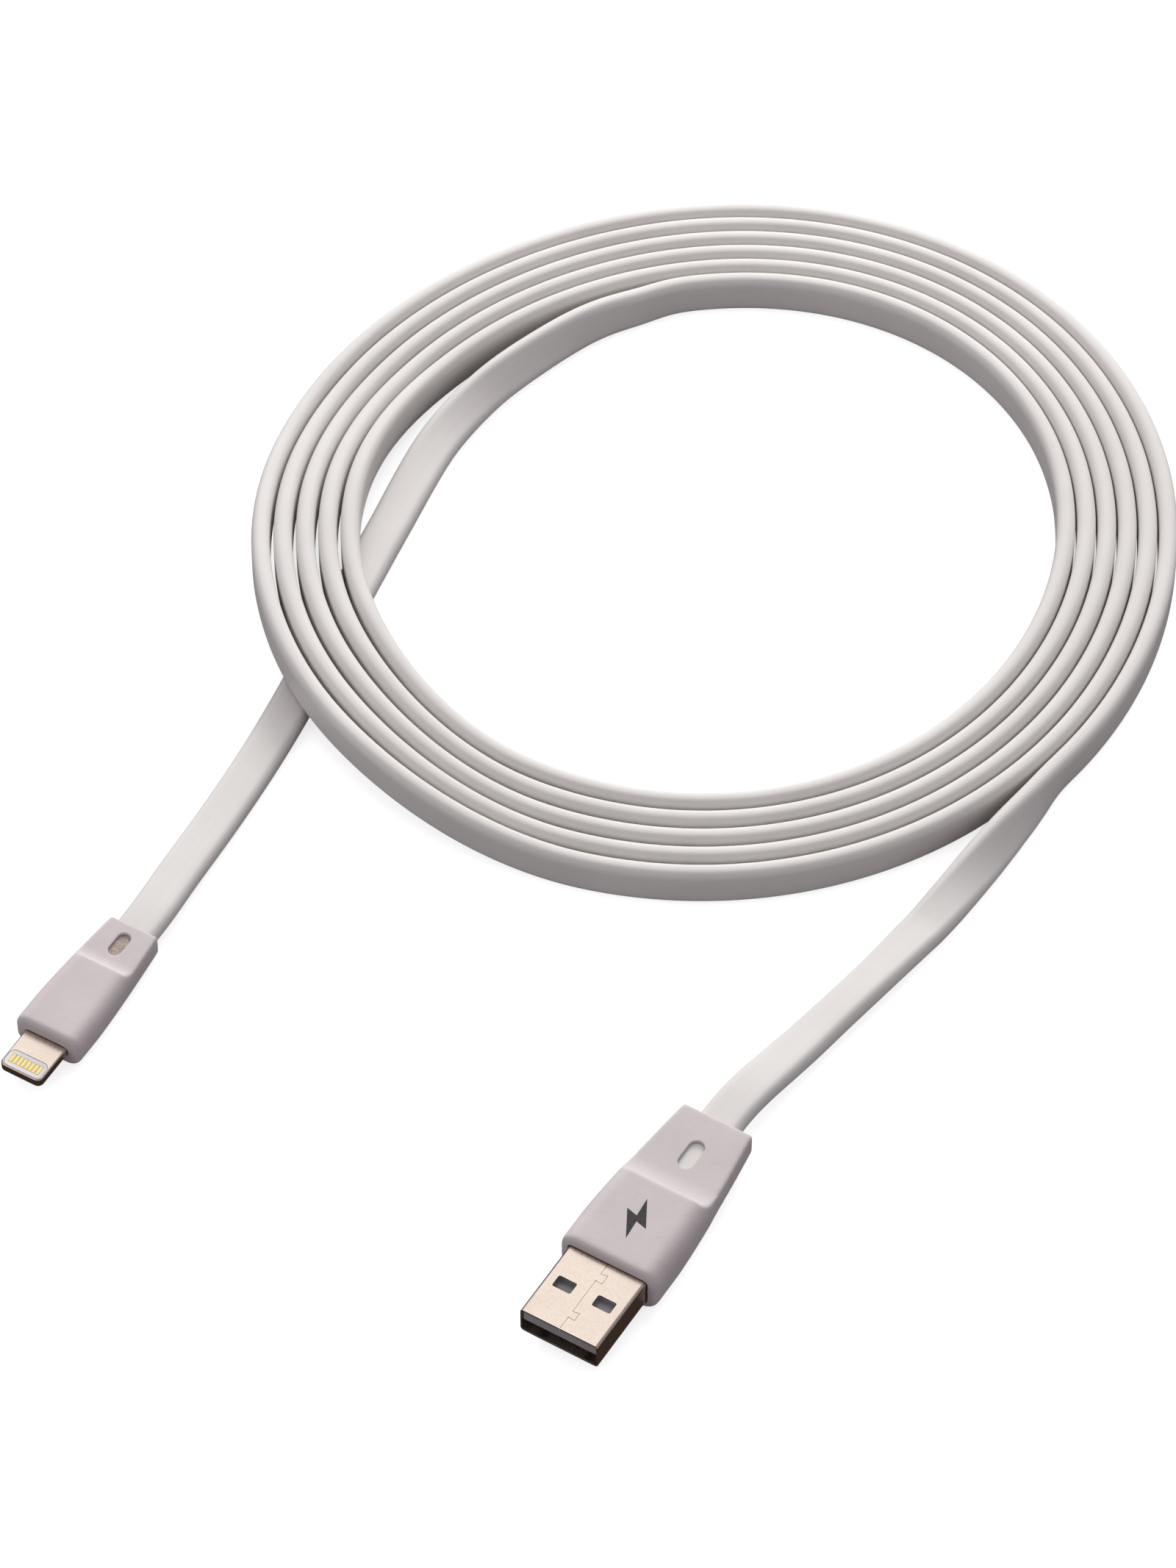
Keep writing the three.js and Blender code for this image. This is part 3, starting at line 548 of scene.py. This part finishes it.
def makeCable():
    path = smoothPath(wholeRoute(), ribbon["step"])
    centres = np.column_stack([path[:, 0], path[:, 1], centreHeight(path[:, 2], path[:, 3])])
    section = ribbonSection()
    mesh = bmesh.new()
    uv = mesh.loops.layers.uv.new("length")
    rings = []
    for i, centre in enumerate(centres):
        ahead, behind = centres[min(i + 1, len(centres) - 1)], centres[max(i - 1, 0)]
        forward = Vector(ahead - behind).normalized()
        left = Vector((0, 0, 1)).cross(forward).normalized()
        over = forward.cross(left)
        angle = math.radians(path[i, 2])
        across = left * math.cos(angle) + over * math.sin(angle)
        through = forward.cross(across)
        rings.append([mesh.verts.new(Vector(centre) + across * x + through * y) for x, y in section])
    around = [0]
    for a, b in zip(section, section[1:] + section[:1]):
        around.append(around[-1] + math.dist(a, b))
    along = np.concatenate([[0], np.cumsum(np.linalg.norm(np.diff(centres, axis=0), axis=1))])
    count = len(section)
    for i in range(len(rings) - 1):
        for k in range(count):
            n = (k + 1) % count
            face = mesh.faces.new((rings[i][k], rings[i][n], rings[i + 1][n], rings[i + 1][k]))
            corners = ((around[k], along[i]), (around[k + 1], along[i]),
                       (around[k + 1], along[i + 1]), (around[k], along[i + 1]))
            for loop, place in zip(face.loops, corners):
                loop[uv].uv = place
    mesh.faces.new(rings[0][::-1])
    mesh.faces.new(rings[-1])
    data = bpy.data.meshes.new("flatCable")
    bmesh.ops.recalc_face_normals(mesh, faces=mesh.faces)
    mesh.to_mesh(data)
    mesh.free()
    cable = bpy.data.objects.new("flatCable", data)
    bpy.context.scene.collection.objects.link(cable)
    finishPiece(cable, "flatCable", materials["jacket"],
                ["cable_length_usb", "cable_coil", "cable_length_tip"], 60, weighted=False)
    print("cable length", round(float(along[-1]), 4))
    return cable, centres, float(along[-1])


cable, cableCentres, cableLength = makeCable()

# grips
usbGrip = {
    "length": 28.6, "width": 15, "height": 7.6, "corner": 2.5, "rearWidth": 10.8, "rearHeight": 3.7,
    "taperBehind": 6, "taperPower": 1.35, "scoopBehind": 14, "scoopLength": 3.7, "frontEdge": 0.8,
    "window": (7.1, 5, 2.2), "voxel": 0.17, "softening": 24,
}
tipGrip = {
    "length": 22, "width": 10.3, "height": 5.6, "corner": 2, "rearWidth": 7.8, "rearHeight": 3.5,
    "taperBehind": 5, "taperPower": 1.35, "scoopBehind": 13.5, "scoopLength": 2.1, "frontEdge": 0.8,
    "window": (3.75, 4.1, 1.9), "voxel": 0.14, "softening": 20,
}


def gripWidth(grip, x):
    start = grip["length"] - grip["taperBehind"]
    share = min(max((start - x) / start, 0), 1) ** grip["taperPower"]
    return grip["width"] + (grip["rearWidth"] - grip["width"]) * share


def taperedBar(grip, name):
    body = roundBar(name, grip["length"], grip["width"], grip["height"], grip["corner"], 0, 10)
    bpy.ops.object.mode_set(mode="EDIT")
    start = grip["length"] - grip["taperBehind"]
    stations = [start * i / 14 for i in range(1, 15)]
    for x in stations:
        bpy.ops.mesh.select_all(action="SELECT")
        bpy.ops.mesh.bisect(plane_co=(x, 0, 0), plane_no=(1, 0, 0))
    for x in [0] + stations:
        pickVerts(lambda co: abs(co.x - x) < 1e-3)
        narrowing = grip["width"] - gripWidth(grip, x)
        for side in (-1, 1):
            pickVerts(lambda co: abs(co.x - x) < 1e-3 and co.y * side > 0)
            bpy.ops.transform.translate(value=(0, -side * narrowing / 2, 0))
    pickEdges(lambda edge: all(abs(v.co.x - grip["length"]) < 1e-3 for v in edge.verts))
    bpy.ops.mesh.bevel(offset=grip["frontEdge"], segments=6, affect="EDGES")
    bpy.ops.object.mode_set(mode="OBJECT")
    return body


def drawPath(points):
    # a chain of edges, drawn from point to point
    deselectAll()
    bpy.ops.mesh.primitive_plane_add(size=1, location=(0, 0, 0))
    bpy.ops.object.mode_set(mode="EDIT")
    bpy.ops.mesh.select_mode(type="VERT")
    bpy.ops.mesh.select_all(action="SELECT")
    bpy.ops.mesh.merge(type="CENTER")
    bpy.ops.transform.translate(value=points[0])
    for here, there in zip(points, points[1:]):
        step = tuple(b - a for a, b in zip(here, there))
        bpy.ops.mesh.extrude_region_move(TRANSFORM_OT_translate={"value": step})
    return bpy.context.object


def scoopCutter(grip, side):
    # a side view of the scoop, drawn point by point and then drawn out across the grip
    floor, top = grip["rearHeight"] / 2, grip["height"] / 2
    end = grip["length"] - grip["scoopBehind"]
    start = end - grip["scoopLength"]
    outline = [(-1, floor), (start, floor)]
    for i in range(1, 13):
        angle = math.pi / 2 * i / 12
        rise = (top - floor) * (1 - math.cos(angle))
        outline.append((start + grip["scoopLength"] * math.sin(angle), floor + rise))
    outline += [(end, top + 1), (-1, top + 1)]
    cutter = drawPath([(x, -grip["width"] / 2 - 1, side * z) for x, z in outline])
    bpy.ops.mesh.select_all(action="SELECT")
    bpy.ops.mesh.edge_face_add()
    bpy.ops.mesh.extrude_region_move(TRANSFORM_OT_translate={"value": (0, grip["width"] + 2, 0)})
    bpy.ops.mesh.select_all(action="SELECT")
    bpy.ops.mesh.normals_make_consistent(inside=False)
    bpy.ops.object.mode_set(mode="OBJECT")
    return cutter


def soften(piece, voxel, rounds):
    # an even mesh all over, whose edges are then rounded off as a mould's are
    makeActive(piece)
    even = piece.modifiers.new("even", "REMESH")
    even.mode = "VOXEL"
    even.voxel_size = voxel
    bpy.ops.object.modifier_apply(modifier=even.name)
    rounded = piece.modifiers.new("rounded", "SMOOTH")
    rounded.factor = 0.5
    rounded.iterations = rounds
    bpy.ops.object.modifier_apply(modifier=rounded.name)


def makeGrip(grip, plug, name, node, pockets):
    body = taperedBar(grip, name)
    x, length, width = grip["window"]
    windows = [roundPlate("window", length, width, width / 2 - 0.001, (x, 0), low, low + 7, 10)
               for low in (1, -8)]
    boolean(body, [scoopCutter(grip, side) for side in (1, -1)])
    soften(body, grip["voxel"], grip["softening"])
    boolean(body, windows)
    soften(body, grip["voxel"] * 0.9, 3)
    channel = roundBar("channel", grip["length"] - 10, 6.4, 2.9, 1.3, -1)
    boolean(body, [channel] + pockets)
    intoPlace(body, plug)
    return finishPiece(body, name, materials["grip"], [node], 40, weighted=False)


def makeUsbGrip():
    mouth = usbGrip["length"]
    pockets = [
        roundBar("shellSeat", 7.4, 12.1, 4.6, 0.65, mouth - 6.35),
        roundBar("coreSeat", 7.6, 10.6, 5.3, 0.65, mouth - 13.45),
        roundBar("relief", 1.6, 12.4, 4.9, 0.8, mouth - 0.6),
    ]
    return makeGrip(usbGrip, usb, "usbGrip", "usb_overmould", pockets)


def makeTipGrip():
    mouth = tipGrip["length"]
    pockets = [
        roundBar("sleeveSeat", 10, 7.7, 3.7, 0.55, mouth - 13.05),
        roundBar("flangeSeat", 3, 7.7, 2.7, 0.65, mouth - 3.5),
        roundBar("noseSeat", 2.5, 6.8, 1.6, 0.65, mouth - 1),
        roundBar("relief", 1.6, 7.1, 1.9, 0.8, mouth - 0.3),
    ]
    return makeGrip(tipGrip, tip, "tipGrip", "tip_overmould", pockets)


makeUsbGrip()
tipGripPiece = makeTipGrip()
print("grips made")

# USB plug, from the mouth of its grip at 28.6: its shell, tongue, contacts, joints, wires and core
usbShell = {
    "start": 22.3, "length": 18.5, "width": 12, "height": 4.5, "corner": 0.6, "sheet": 0.3, "rim": 0.07,
    "hole": (34.4, 3.05, 1.9, 2.8, 0.25), "seam": 0.1, "tab": 1.1, "seamWidth": 0.1, "seamDepth": 0.18,
    "tabs": ((8.76, 10.07, 8.93, 10.0), (1.68, 3.16, 1.84, 3.1)),
}


def seamCutter():
    mouth, half = usbGrip["length"], usbShell["height"] / 2
    seam, tab = usbShell["seam"], usbShell["tab"]
    path = [(13, seam)]
    for low, high, neckLow, neckHigh in usbShell["tabs"]:
        path += [(neckHigh, seam), (high, tab), (low, tab), (neckLow, seam)]
    path.append((-2, seam))
    cutter = drawPath([(mouth + x, y, half - usbShell["seamDepth"]) for x, y in path])
    bpy.ops.mesh.select_all(action="SELECT")
    bpy.ops.mesh.extrude_region_move(TRANSFORM_OT_translate={"value": (0, 0, 1)})
    bpy.ops.object.mode_set(mode="OBJECT")
    wall = cutter.modifiers.new("wall", "SOLIDIFY")
    wall.thickness = usbShell["seamWidth"]
    wall.offset = 0
    wall.use_even_offset = True
    bpy.ops.object.modifier_apply(modifier=wall.name)
    return cutter


def makeUsbShell():
    s = usbShell
    end = s["start"] + s["length"]
    shell = roundBar("usbShell", s["length"], s["width"], s["height"], s["corner"], s["start"], 6)
    bpy.ops.object.mode_set(mode="EDIT")
    pickFaces(lambda centre, normal: abs(normal.x) > 0.9)
    bpy.ops.mesh.delete(type="FACE")
    bpy.ops.object.mode_set(mode="OBJECT")
    wall = shell.modifiers.new("sheet", "SOLIDIFY")
    wall.thickness = s["sheet"]
    wall.offset = -1
    bpy.ops.object.modifier_apply(modifier=wall.name)
    x, y, length, width, corner = s["hole"]
    holes = [roundPlate("latchHole", length, width, corner, (x, side * y), -4, 4, 4) for side in (-1, 1)]
    boolean(shell, holes)
    bevelSharp(shell, s["rim"], 50, 2)
    boolean(shell, [seamCutter()])
    intoPlace(shell, usb)
    return finishPiece(shell, "usbShell", materials["plating"], ["usb_shell"])


usbTongue = {
    "start": 22.35, "front": 40.55, "width": 11.3, "height": 3.8, "corner": 0.3, "under": 0,
    "root": 28.1, "soft": 0.12, "latchFloor": 1.2, "latchRoom": 0.3,
}
usbContacts = {
    "rear": 20.3, "fronts": (39.4, 38.4), "places": (3.5, 1), "width": 1, "thickness": 0.2,
    "fit": 0.05, "tipCorner": 0.2, "soft": 0.04,
}


def contactPlaces():
    outer, inner = usbContacts["places"]
    long, short = usbContacts["fronts"]
    return ((-outer, long), (-inner, short), (inner, short), (outer, long))


def makeUsbTongue():
    t, c = usbTongue, usbContacts
    reach = t["front"] - t["start"]
    tongue = roundBar("usbTongue", reach, t["width"], t["height"], t["corner"], t["start"], 4)
    space = cube("space", (16, 16, 6), (t["root"] + 8, 0, t["under"] - 3))
    boolean(tongue, [space])
    bpy.ops.object.mode_set(mode="EDIT")
    pickEdges(lambda edge: all(v.co.x > t["front"] - 0.001 for v in edge.verts))
    bpy.ops.mesh.bevel(offset=t["soft"], segments=3, affect="EDGES")
    bpy.ops.object.mode_set(mode="OBJECT")
    slots = []
    for y, front in contactPlaces():
        length = front + c["fit"] - t["start"] + 1
        room = (length, c["width"] + 2 * c["fit"], c["thickness"] + 2 * c["fit"])
        slots.append(cube("slot", room, (t["start"] - 1 + length / 2, y, 0)))
    x, y, length, width, corner = usbShell["hole"]
    room = t["latchRoom"]  # left all round behind each latch hole
    for side in (-1, 1):
        slots.append(roundPlate("latchRoom", length + room, width + room, corner, (x, side * y),
                                t["latchFloor"], 3, 4))
    boolean(tongue, slots)
    bevelSharp(tongue, 0.02, 50, 1)
    intoPlace(tongue, usb)
    return finishPiece(tongue, "usbTongue", materials["tongue"], ["usb_tongue"])


def makeUsbContacts():
    c = usbContacts
    for i, (y, front) in enumerate(contactPlaces()):
        length = front - c["rear"]
        strip = cube("strip", (length, c["width"], c["thickness"]), (c["rear"] + length / 2, y, 0))
        bpy.ops.object.mode_set(mode="EDIT")
        pickEdges(lambda edge: runsAlong(edge, 2) and edge.verts[0].co.x > front - 0.001)
        bpy.ops.mesh.bevel(offset=c["tipCorner"], segments=3, affect="EDGES")
        bpy.ops.object.mode_set(mode="OBJECT")
        bevelSharp(strip, c["soft"], 50, 2)
        intoPlace(strip, usb)
        finishPiece(strip, f"usbContact{i + 1}", materials["gold"], [f"usb_contact_{i + 1}"])


def makeJoint(name, node, plug, radius, length, centre):
    # a blob of solder: a ball drawn out along the wire, a little flat where it meets the contact
    deselectAll()
    bpy.ops.mesh.primitive_uv_sphere_add(radius=radius, segments=20, ring_count=12,
                                         rotation=(0, math.pi / 2, 0))
    bpy.ops.object.transform_apply(location=False, rotation=True, scale=False)
    bpy.ops.object.mode_set(mode="EDIT")
    for side in (-1, 1):
        pickVerts(lambda co: co.x * side > 0.001)
        bpy.ops.transform.translate(value=(side * (length / 2 - radius), 0, 0))
    pickVerts(lambda co: co.z < -0.6 * radius)
    bpy.ops.transform.resize(value=(1, 1, 0.4), center_override=(0, 0, -0.6 * radius))
    bpy.ops.mesh.select_all(action="SELECT")
    bpy.ops.transform.translate(value=centre)
    bpy.ops.object.mode_set(mode="OBJECT")
    joint = bpy.context.object
    intoPlace(joint, plug)
    return finishPiece(joint, name, materials["tin"], [node], 60)


def makeWire(name, node, plug, kind, start, end, radius=0.45):
    deselectAll()
    bpy.ops.curve.primitive_bezier_curve_add()
    wire = bpy.context.object
    first, last = wire.data.splines[0].bezier_points
    third = (end[0] - start[0]) / 3
    for point, place in ((first, start), (last, end)):
        point.handle_left_type = point.handle_right_type = "FREE"
        point.co = place
        point.handle_left = (place[0] - third, place[1], place[2])
        point.handle_right = (place[0] + third, place[1], place[2])
    wire.data.resolution_u = 16
    wire.data.bevel_depth = radius
    wire.data.bevel_resolution = 5
    wire.data.use_fill_caps = True
    bpy.ops.object.convert(target="MESH")
    mergeDoubles(bpy.context.object)
    wire = bpy.context.object
    bevelSharp(wire, 0.06, 60, 2)
    intoPlace(wire, plug)
    return finishPiece(wire, name, materials["wire_" + kind], [node])


def makeCore(name, node, plug, start, length, width, height, corner, seats):
    core = roundBar(name, length, width, height, corner, start, 5)
    bevelSharp(core, 0.12, 60, 3)
    boolean(core, seats)
    intoPlace(core, plug)
    return finishPiece(core, name, materials["innerMould"], [node], 50)


def wireRoom(start, end):
    # the way cut for one wire: a bar from its start to its end
    line = Vector(end) - Vector(start)
    deselectAll()
    bpy.ops.mesh.primitive_cylinder_add(vertices=24, radius=0.52, depth=line.length + 0.6)
    room = bpy.context.object
    turned = line.to_track_quat("Z", "Y").to_matrix().to_4x4()
    room.matrix_world = Matrix.Translation((Vector(start) + Vector(end)) / 2) @ turned
    bpy.ops.object.transform_apply(location=True, rotation=True, scale=True)
    return room


def camel(kind):
    first, *rest = kind.split("_")
    return first.capitalize() + "".join(word.capitalize() for word in rest)


def makeUsbInside():
    rooms = [roundBar("jacketSeat", 2.4, 6.4, 2.9, 1.3, 14.1, 6)]
    places = contactPlaces()
    for i, kind in enumerate(wireColours):
        start, end = (16.3, (i - 1.5) * 1.4, 0), (20.3, places[i][0], 0.55)
        makeWire("usbWire" + camel(kind), "usb_wire_" + kind, usb, kind, start, end)
        makeJoint(f"usbJoint{i + 1}", f"usb_solder_{i + 1}", usb, 0.4, 1.8, (21.3, places[i][0], 0.55))
        rooms.append(wireRoom(start, end))
        rooms.append(cube("room", (3, 1.1, 1.3), (21.8, places[i][0], 0.45)))
    makeCore("usbInnerMould", "usb_inner_mould", usb, 15.2, 7.05, 10.5, 5.2, 0.6, rooms)


makeUsbShell()
makeUsbTongue()
makeUsbContacts()
makeUsbInside()
print("USB plug made")

# phone plug, from the mouth of its grip at 22
tipNose = {
    "start": 19, "front": 28.6, "width": 6.7, "height": 1.5, "tipCorner": 0.9, "edge": 0.33,
    "flange": (19, 2.4, 7.6, 2.6, 0.6), "slot": (8.5, 5.1, 0.8), "pad": (26.95, 2.9, 6.1, 0.95),
}


def makeNose():
    n = tipNose
    size = (n["front"] - n["start"], n["width"], n["height"])
    nose = cube("tipFrame", size, ((n["front"] + n["start"]) / 2, 0, 0))
    bpy.ops.object.mode_set(mode="EDIT")
    pickEdges(lambda edge: runsAlong(edge, 2) and edge.verts[0].co.x > n["front"] - 0.001)
    bpy.ops.mesh.bevel(offset=n["tipCorner"], segments=8, affect="EDGES")
    pickEdges(lambda edge: abs(edge.verts[0].co.z - edge.verts[1].co.z) < 0.001
              and not all(v.co.x < n["start"] + 0.001 for v in edge.verts)
              and len({round(f.normal.z) for f in edge.link_faces}) == 2)
    bpy.ops.mesh.bevel(offset=n["edge"], segments=6, affect="EDGES")
    bpy.ops.object.mode_set(mode="OBJECT")
    start, length, width, height, corner = n["flange"]
    flange = roundBar("flange", length, width, height, corner, start, 5)
    boolean(nose, [flange], "UNION")
    bevelSharp(nose, 0.08, 60, 2)
    x, length, width, corner = n["pad"]
    slot = cube("slot", n["slot"], (n["start"] - 1 + n["slot"][0] / 2, 0, 0))
    hole = roundPlate("padHole", length, width, corner, (x, 0), -2, 2, 8)
    boolean(nose, [slot, hole])
    bevelSharp(nose, 0.03, 65, 1)
    intoPlace(nose, tip)
    return finishPiece(nose, "tipFrame", materials["plating"], ["tip_frame"], 50)


tipPad = {"x": 26.95, "length": 2.8, "width": 6, "corner": 0.9, "half": 0.73, "crown": 0.06}
tipContacts = {
    "count": 8, "pitch": 0.62, "length": 1.45, "width": 0.42, "low": 0.35, "high": 0.75, "fit": 0.04,
    "corner": 0.06, "soft": 0.03,
}


def makePad():
    p, c = tipPad, tipContacts
    pad = roundPlate("tipPad", p["length"], p["width"], p["corner"], (p["x"], 0), -p["half"], p["half"], 8)
    bevelSharp(pad, p["crown"], 60, 3)
    pockets = [cube("boardSlot", (5, 5.1, 0.7), (28.15 - 2.5, 0, 0))]
    for face in (-1, 1):
        for i in range(c["count"]):
            size = (c["length"] + 2 * c["fit"], c["width"] + 2 * c["fit"], 1)
            pockets.append(cube("pocket", size, (p["x"], (i - 3.5) * c["pitch"], face * 0.5)))
    boolean(pad, pockets)
    intoPlace(pad, tip)
    return finishPiece(pad, "tipPad", materials["insulator"], ["tip_insulator"], 40)


def makeTipContacts():
    p, c = tipPad, tipContacts
    model = roundPlate("tipContact", c["length"], c["width"], c["corner"], (p["x"], 0),
                       c["low"], c["high"], 3)
    bevelSharp(model, c["soft"], 60, 2)
    for face, side in ((1, "top"), (-1, "bottom")):
        for i in range(c["count"]):
            contact = model.copy()
            contact.data = model.data.copy()
            bpy.context.scene.collection.objects.link(contact)
            makeActive(contact)
            bpy.ops.object.mode_set(mode="EDIT")
            bpy.ops.mesh.select_all(action="SELECT")
            if face < 0:
                bpy.ops.transform.translate(value=(0, 0, -c["low"] - c["high"]))
            bpy.ops.transform.translate(value=(0, (i - 3.5) * c["pitch"], 0))
            bpy.ops.object.mode_set(mode="OBJECT")
            intoPlace(contact, tip)
            finishPiece(contact, f"tipContact{side.capitalize()}{i + 1}", materials["gold"],
                        [f"tip_contact_{side}_{i + 1}"], 60)
    bpy.data.objects.remove(model, do_unlink=True)


tipBoard = {"size": (16.1, 6.6, 0.6), "x": 20.05, "narrowFrom": 18.95, "narrowWidth": 4.9, "soft": 0.04}


def makeBoard():
    # the board narrows where it runs into the nose
    b = tipBoard
    board = cube("tipBoard", b["size"], (b["x"], 0, 0))
    notches = [cube("notch", (12, 2, 2), (b["narrowFrom"] + 6, side * (b["narrowWidth"] / 2 + 1), 0))
               for side in (-1, 1)]
    boolean(board, notches)
    bevelSharp(board, b["soft"], 50, 1)
    intoPlace(board, tip)
    return finishPiece(board, "tipBoard", materials["board"], ["tip_board"])


def makeSmallBox(name, node, material, size, centre, soft):
    box = cube(name, size, centre)
    bevelSharp(box, soft, 50, 3)
    intoPlace(box, tip)
    return finishPiece(box, name, materials[material], [node])


tipSleeve = {
    "start": 11.1, "length": 7.8, "width": 7.6, "height": 3.6, "corner": 0.5, "sheet": 0.2, "soft": 0.04,
}


def makeSleeve():
    t = tipSleeve
    sleeve = roundBar("tipSleeve", t["length"], t["width"], t["height"], t["corner"], t["start"], 5)
    bpy.ops.object.mode_set(mode="EDIT")
    pickFaces(lambda centre, normal: abs(normal.x) > 0.9)
    bpy.ops.mesh.delete(type="FACE")
    bpy.ops.object.mode_set(mode="OBJECT")
    wall = sleeve.modifiers.new("sheet", "SOLIDIFY")
    wall.thickness = t["sheet"]
    wall.offset = -1
    bpy.ops.object.modifier_apply(modifier=wall.name)
    bevelSharp(sleeve, t["soft"], 50, 1)
    intoPlace(sleeve, tip)
    return finishPiece(sleeve, "tipSleeve", materials["tin"], ["tip_shield_sleeve"])


def makeTipInside():
    makeBoard()
    makeSmallBox("tipChip", "tip_chip", "chip", (2.4, 2.4, 0.7), (16.4, 0, 0.7), 0.06)
    for i, side in enumerate((-1, 1)):
        makeSmallBox(f"tipCapacitor{i + 1}", f"tip_capacitor_{i + 1}", "capacitor",
                     (1, 0.5, 0.5), (17.2, side * 1.6, -0.6), 0.05)
    makeSleeve()
    rooms = [roundBar("jacketSeat", 2, 6.4, 2.9, 1.3, 8, 6)]
    for i, kind in enumerate(wireColours):
        start, end = (9.8, (i - 1.5) * 1.4, 0), (11.9, (i - 1.5) * 1.5, 0.7)
        makeWire("tipWire" + camel(kind), "tip_wire_" + kind, tip, kind, start, end)
        makeJoint(f"tipJoint{i + 1}", f"tip_solder_{i + 1}", tip, 0.35, 1.4, (12.8, (i - 1.5) * 1.5, 0.7))
        rooms.append(wireRoom(start, end))
    makeCore("tipInnerMould", "tip_inner_mould", tip, 9, 2.05, 7.6, 3.6, 0.5, rooms)


windowFloor = {
    "x": 3.75, "length": 4.4, "width": 2.2, "low": 1.3, "high": 1.4, "rim": 0.25, "dip": 0.03,
}


def makeWindowFloor():
    # the bonding foil seen through the phone plug's window, above the jacket
    w = windowFloor
    corner = w["width"] / 2 - 0.01
    foil = roundPlate("windowFoil", w["length"], w["width"], corner, (w["x"], 0), w["low"], w["high"], 8)
    bpy.ops.object.mode_set(mode="EDIT")
    pickFaces(lambda centre, normal: normal.z > 0.9)
    bpy.ops.mesh.inset(thickness=w["rim"])
    bpy.ops.transform.translate(value=(0, 0, -w["dip"]))
    bpy.ops.object.mode_set(mode="OBJECT")
    intoPlace(foil, tip)
    return finishPiece(foil, "windowFoil", materials["foil"], [])


noseSolid = makeNose()
makeWindowFloor()
makePad()
makeTipContacts()
makeTipInside()
print("phone plug made")

# printed mark on the USB grip, a plain bolt
mark = {"x": 21.2, "length": 7, "width": 3.9, "lift": 0.02}


def makeMark():
    outline = [(0.5, 0.12), (-0.12, -0.5), (-0.06, -0.06), (-0.5, -0.12), (0.12, 0.5), (0.06, 0.06)]
    top = usbGrip["height"] / 2
    points = [(mark["x"] + u * mark["length"], v * mark["width"], top - 0.1) for u, v in outline]
    bolt = drawPath(points)
    bpy.ops.mesh.select_all(action="SELECT")
    bpy.ops.mesh.edge_face_add()
    bpy.ops.mesh.extrude_region_move(TRANSFORM_OT_translate={"value": (0, 0, 0.1 + mark["lift"])})
    bpy.ops.mesh.select_all(action="SELECT")
    bpy.ops.mesh.normals_make_consistent(inside=False)
    bpy.ops.object.mode_set(mode="OBJECT")
    intoPlace(bolt, usb)
    return finishPiece(bolt, "gripMark", materials["ink"], [])


makeMark()
print("mark made")

# floor and light, all in metres and watts
studio = {
    "floor": (0.92, 0.92, 0.92), "floorGlow": 0.72, "floorBounce": (0.42, 0.4, 0.42),
    # floorPaintedReflection is the dark brown glow that glossy surfaces see in the floor, a painted
    # reflection
    "floorPaintedReflection": (0.05, 0.034, 0.028), "world": 0.39, "worldColour": (0.98, 0.95, 1),
    "key": {"place": (0.2, 1.2, 0.52), "size": 0.5, "power": 16, "inGloss": False},
    "card": {"place": (0, 0.9, 1.08), "size": 1.6, "power": 8.6, "inGloss": True},
    "fill": {"place": (-1.1, -0.5, 0.6), "size": 0.9, "power": 1.6, "inGloss": True},
}


def areaLight(name, place, size, power, inGloss):
    deselectAll()
    away = Vector(place) - Vector(view["target"])
    turned = away.to_track_quat("Z", "Y").to_euler()
    bpy.ops.object.light_add(type="AREA", location=place, rotation=turned)
    light = bpy.context.object
    light.name = name
    light.data.size = size
    light.data.energy = power
    light.visible_glossy = inGloss


def makeStudio():
    deselectAll()
    bpy.ops.mesh.primitive_plane_add(size=6, location=(0, 0, 0))
    floor = bpy.context.object
    floor.name = "floor"
    material, tree, shader = newMaterial("paleFloor", Roughness=0.9, Specular_IOR_Level=0.2)
    shader.inputs["Base Color"].default_value = (*studio["floor"], 1)
    shader.inputs["Emission Color"].default_value = (1, 1, 1, 1)
    shader.inputs["Emission Strength"].default_value = studio["floorGlow"]
    bounce = tree.nodes.new("ShaderNodeBsdfDiffuse")  # the light that the floor sends back up is softer and dimmer than the floor looks
    bounce.inputs["Color"].default_value = (*studio["floorBounce"], 1)
    paintedReflection = tree.nodes.new("ShaderNodeEmission")  # painted reflection: glossy surfaces see a dark brown glow here in place of the pale floor
    paintedReflection.inputs["Color"].default_value = (*studio["floorPaintedReflection"], 1)
    rays = tree.nodes.new("ShaderNodeLightPath")
    unseen = tree.nodes.new("ShaderNodeMixShader")
    tree.links.new(rays.outputs["Is Glossy Ray"], unseen.inputs["Fac"])
    tree.links.new(bounce.outputs["BSDF"], unseen.inputs[1])
    tree.links.new(paintedReflection.outputs["Emission"], unseen.inputs[2])
    choice = tree.nodes.new("ShaderNodeMixShader")
    tree.links.new(rays.outputs["Is Camera Ray"], choice.inputs["Fac"])
    tree.links.new(unseen.outputs["Shader"], choice.inputs[1])
    tree.links.new(shader.outputs["BSDF"], choice.inputs[2])
    tree.links.new(choice.outputs["Shader"], tree.nodes["Material Output"].inputs["Surface"])
    floor.data.materials.append(material)
    world = bpy.context.scene.world or bpy.data.worlds.new("studio")
    bpy.context.scene.world = world
    world.use_nodes = True
    background = world.node_tree.nodes["Background"]
    background.inputs["Color"].default_value = (*studio["worldColour"], 1)
    background.inputs["Strength"].default_value = studio["world"]
    for name in ("key", "card", "fill"):
        areaLight(name + "Light", **studio[name])


makeStudio()
print("studio made")
bpy.context.scene.view_settings.view_transform = "Standard"
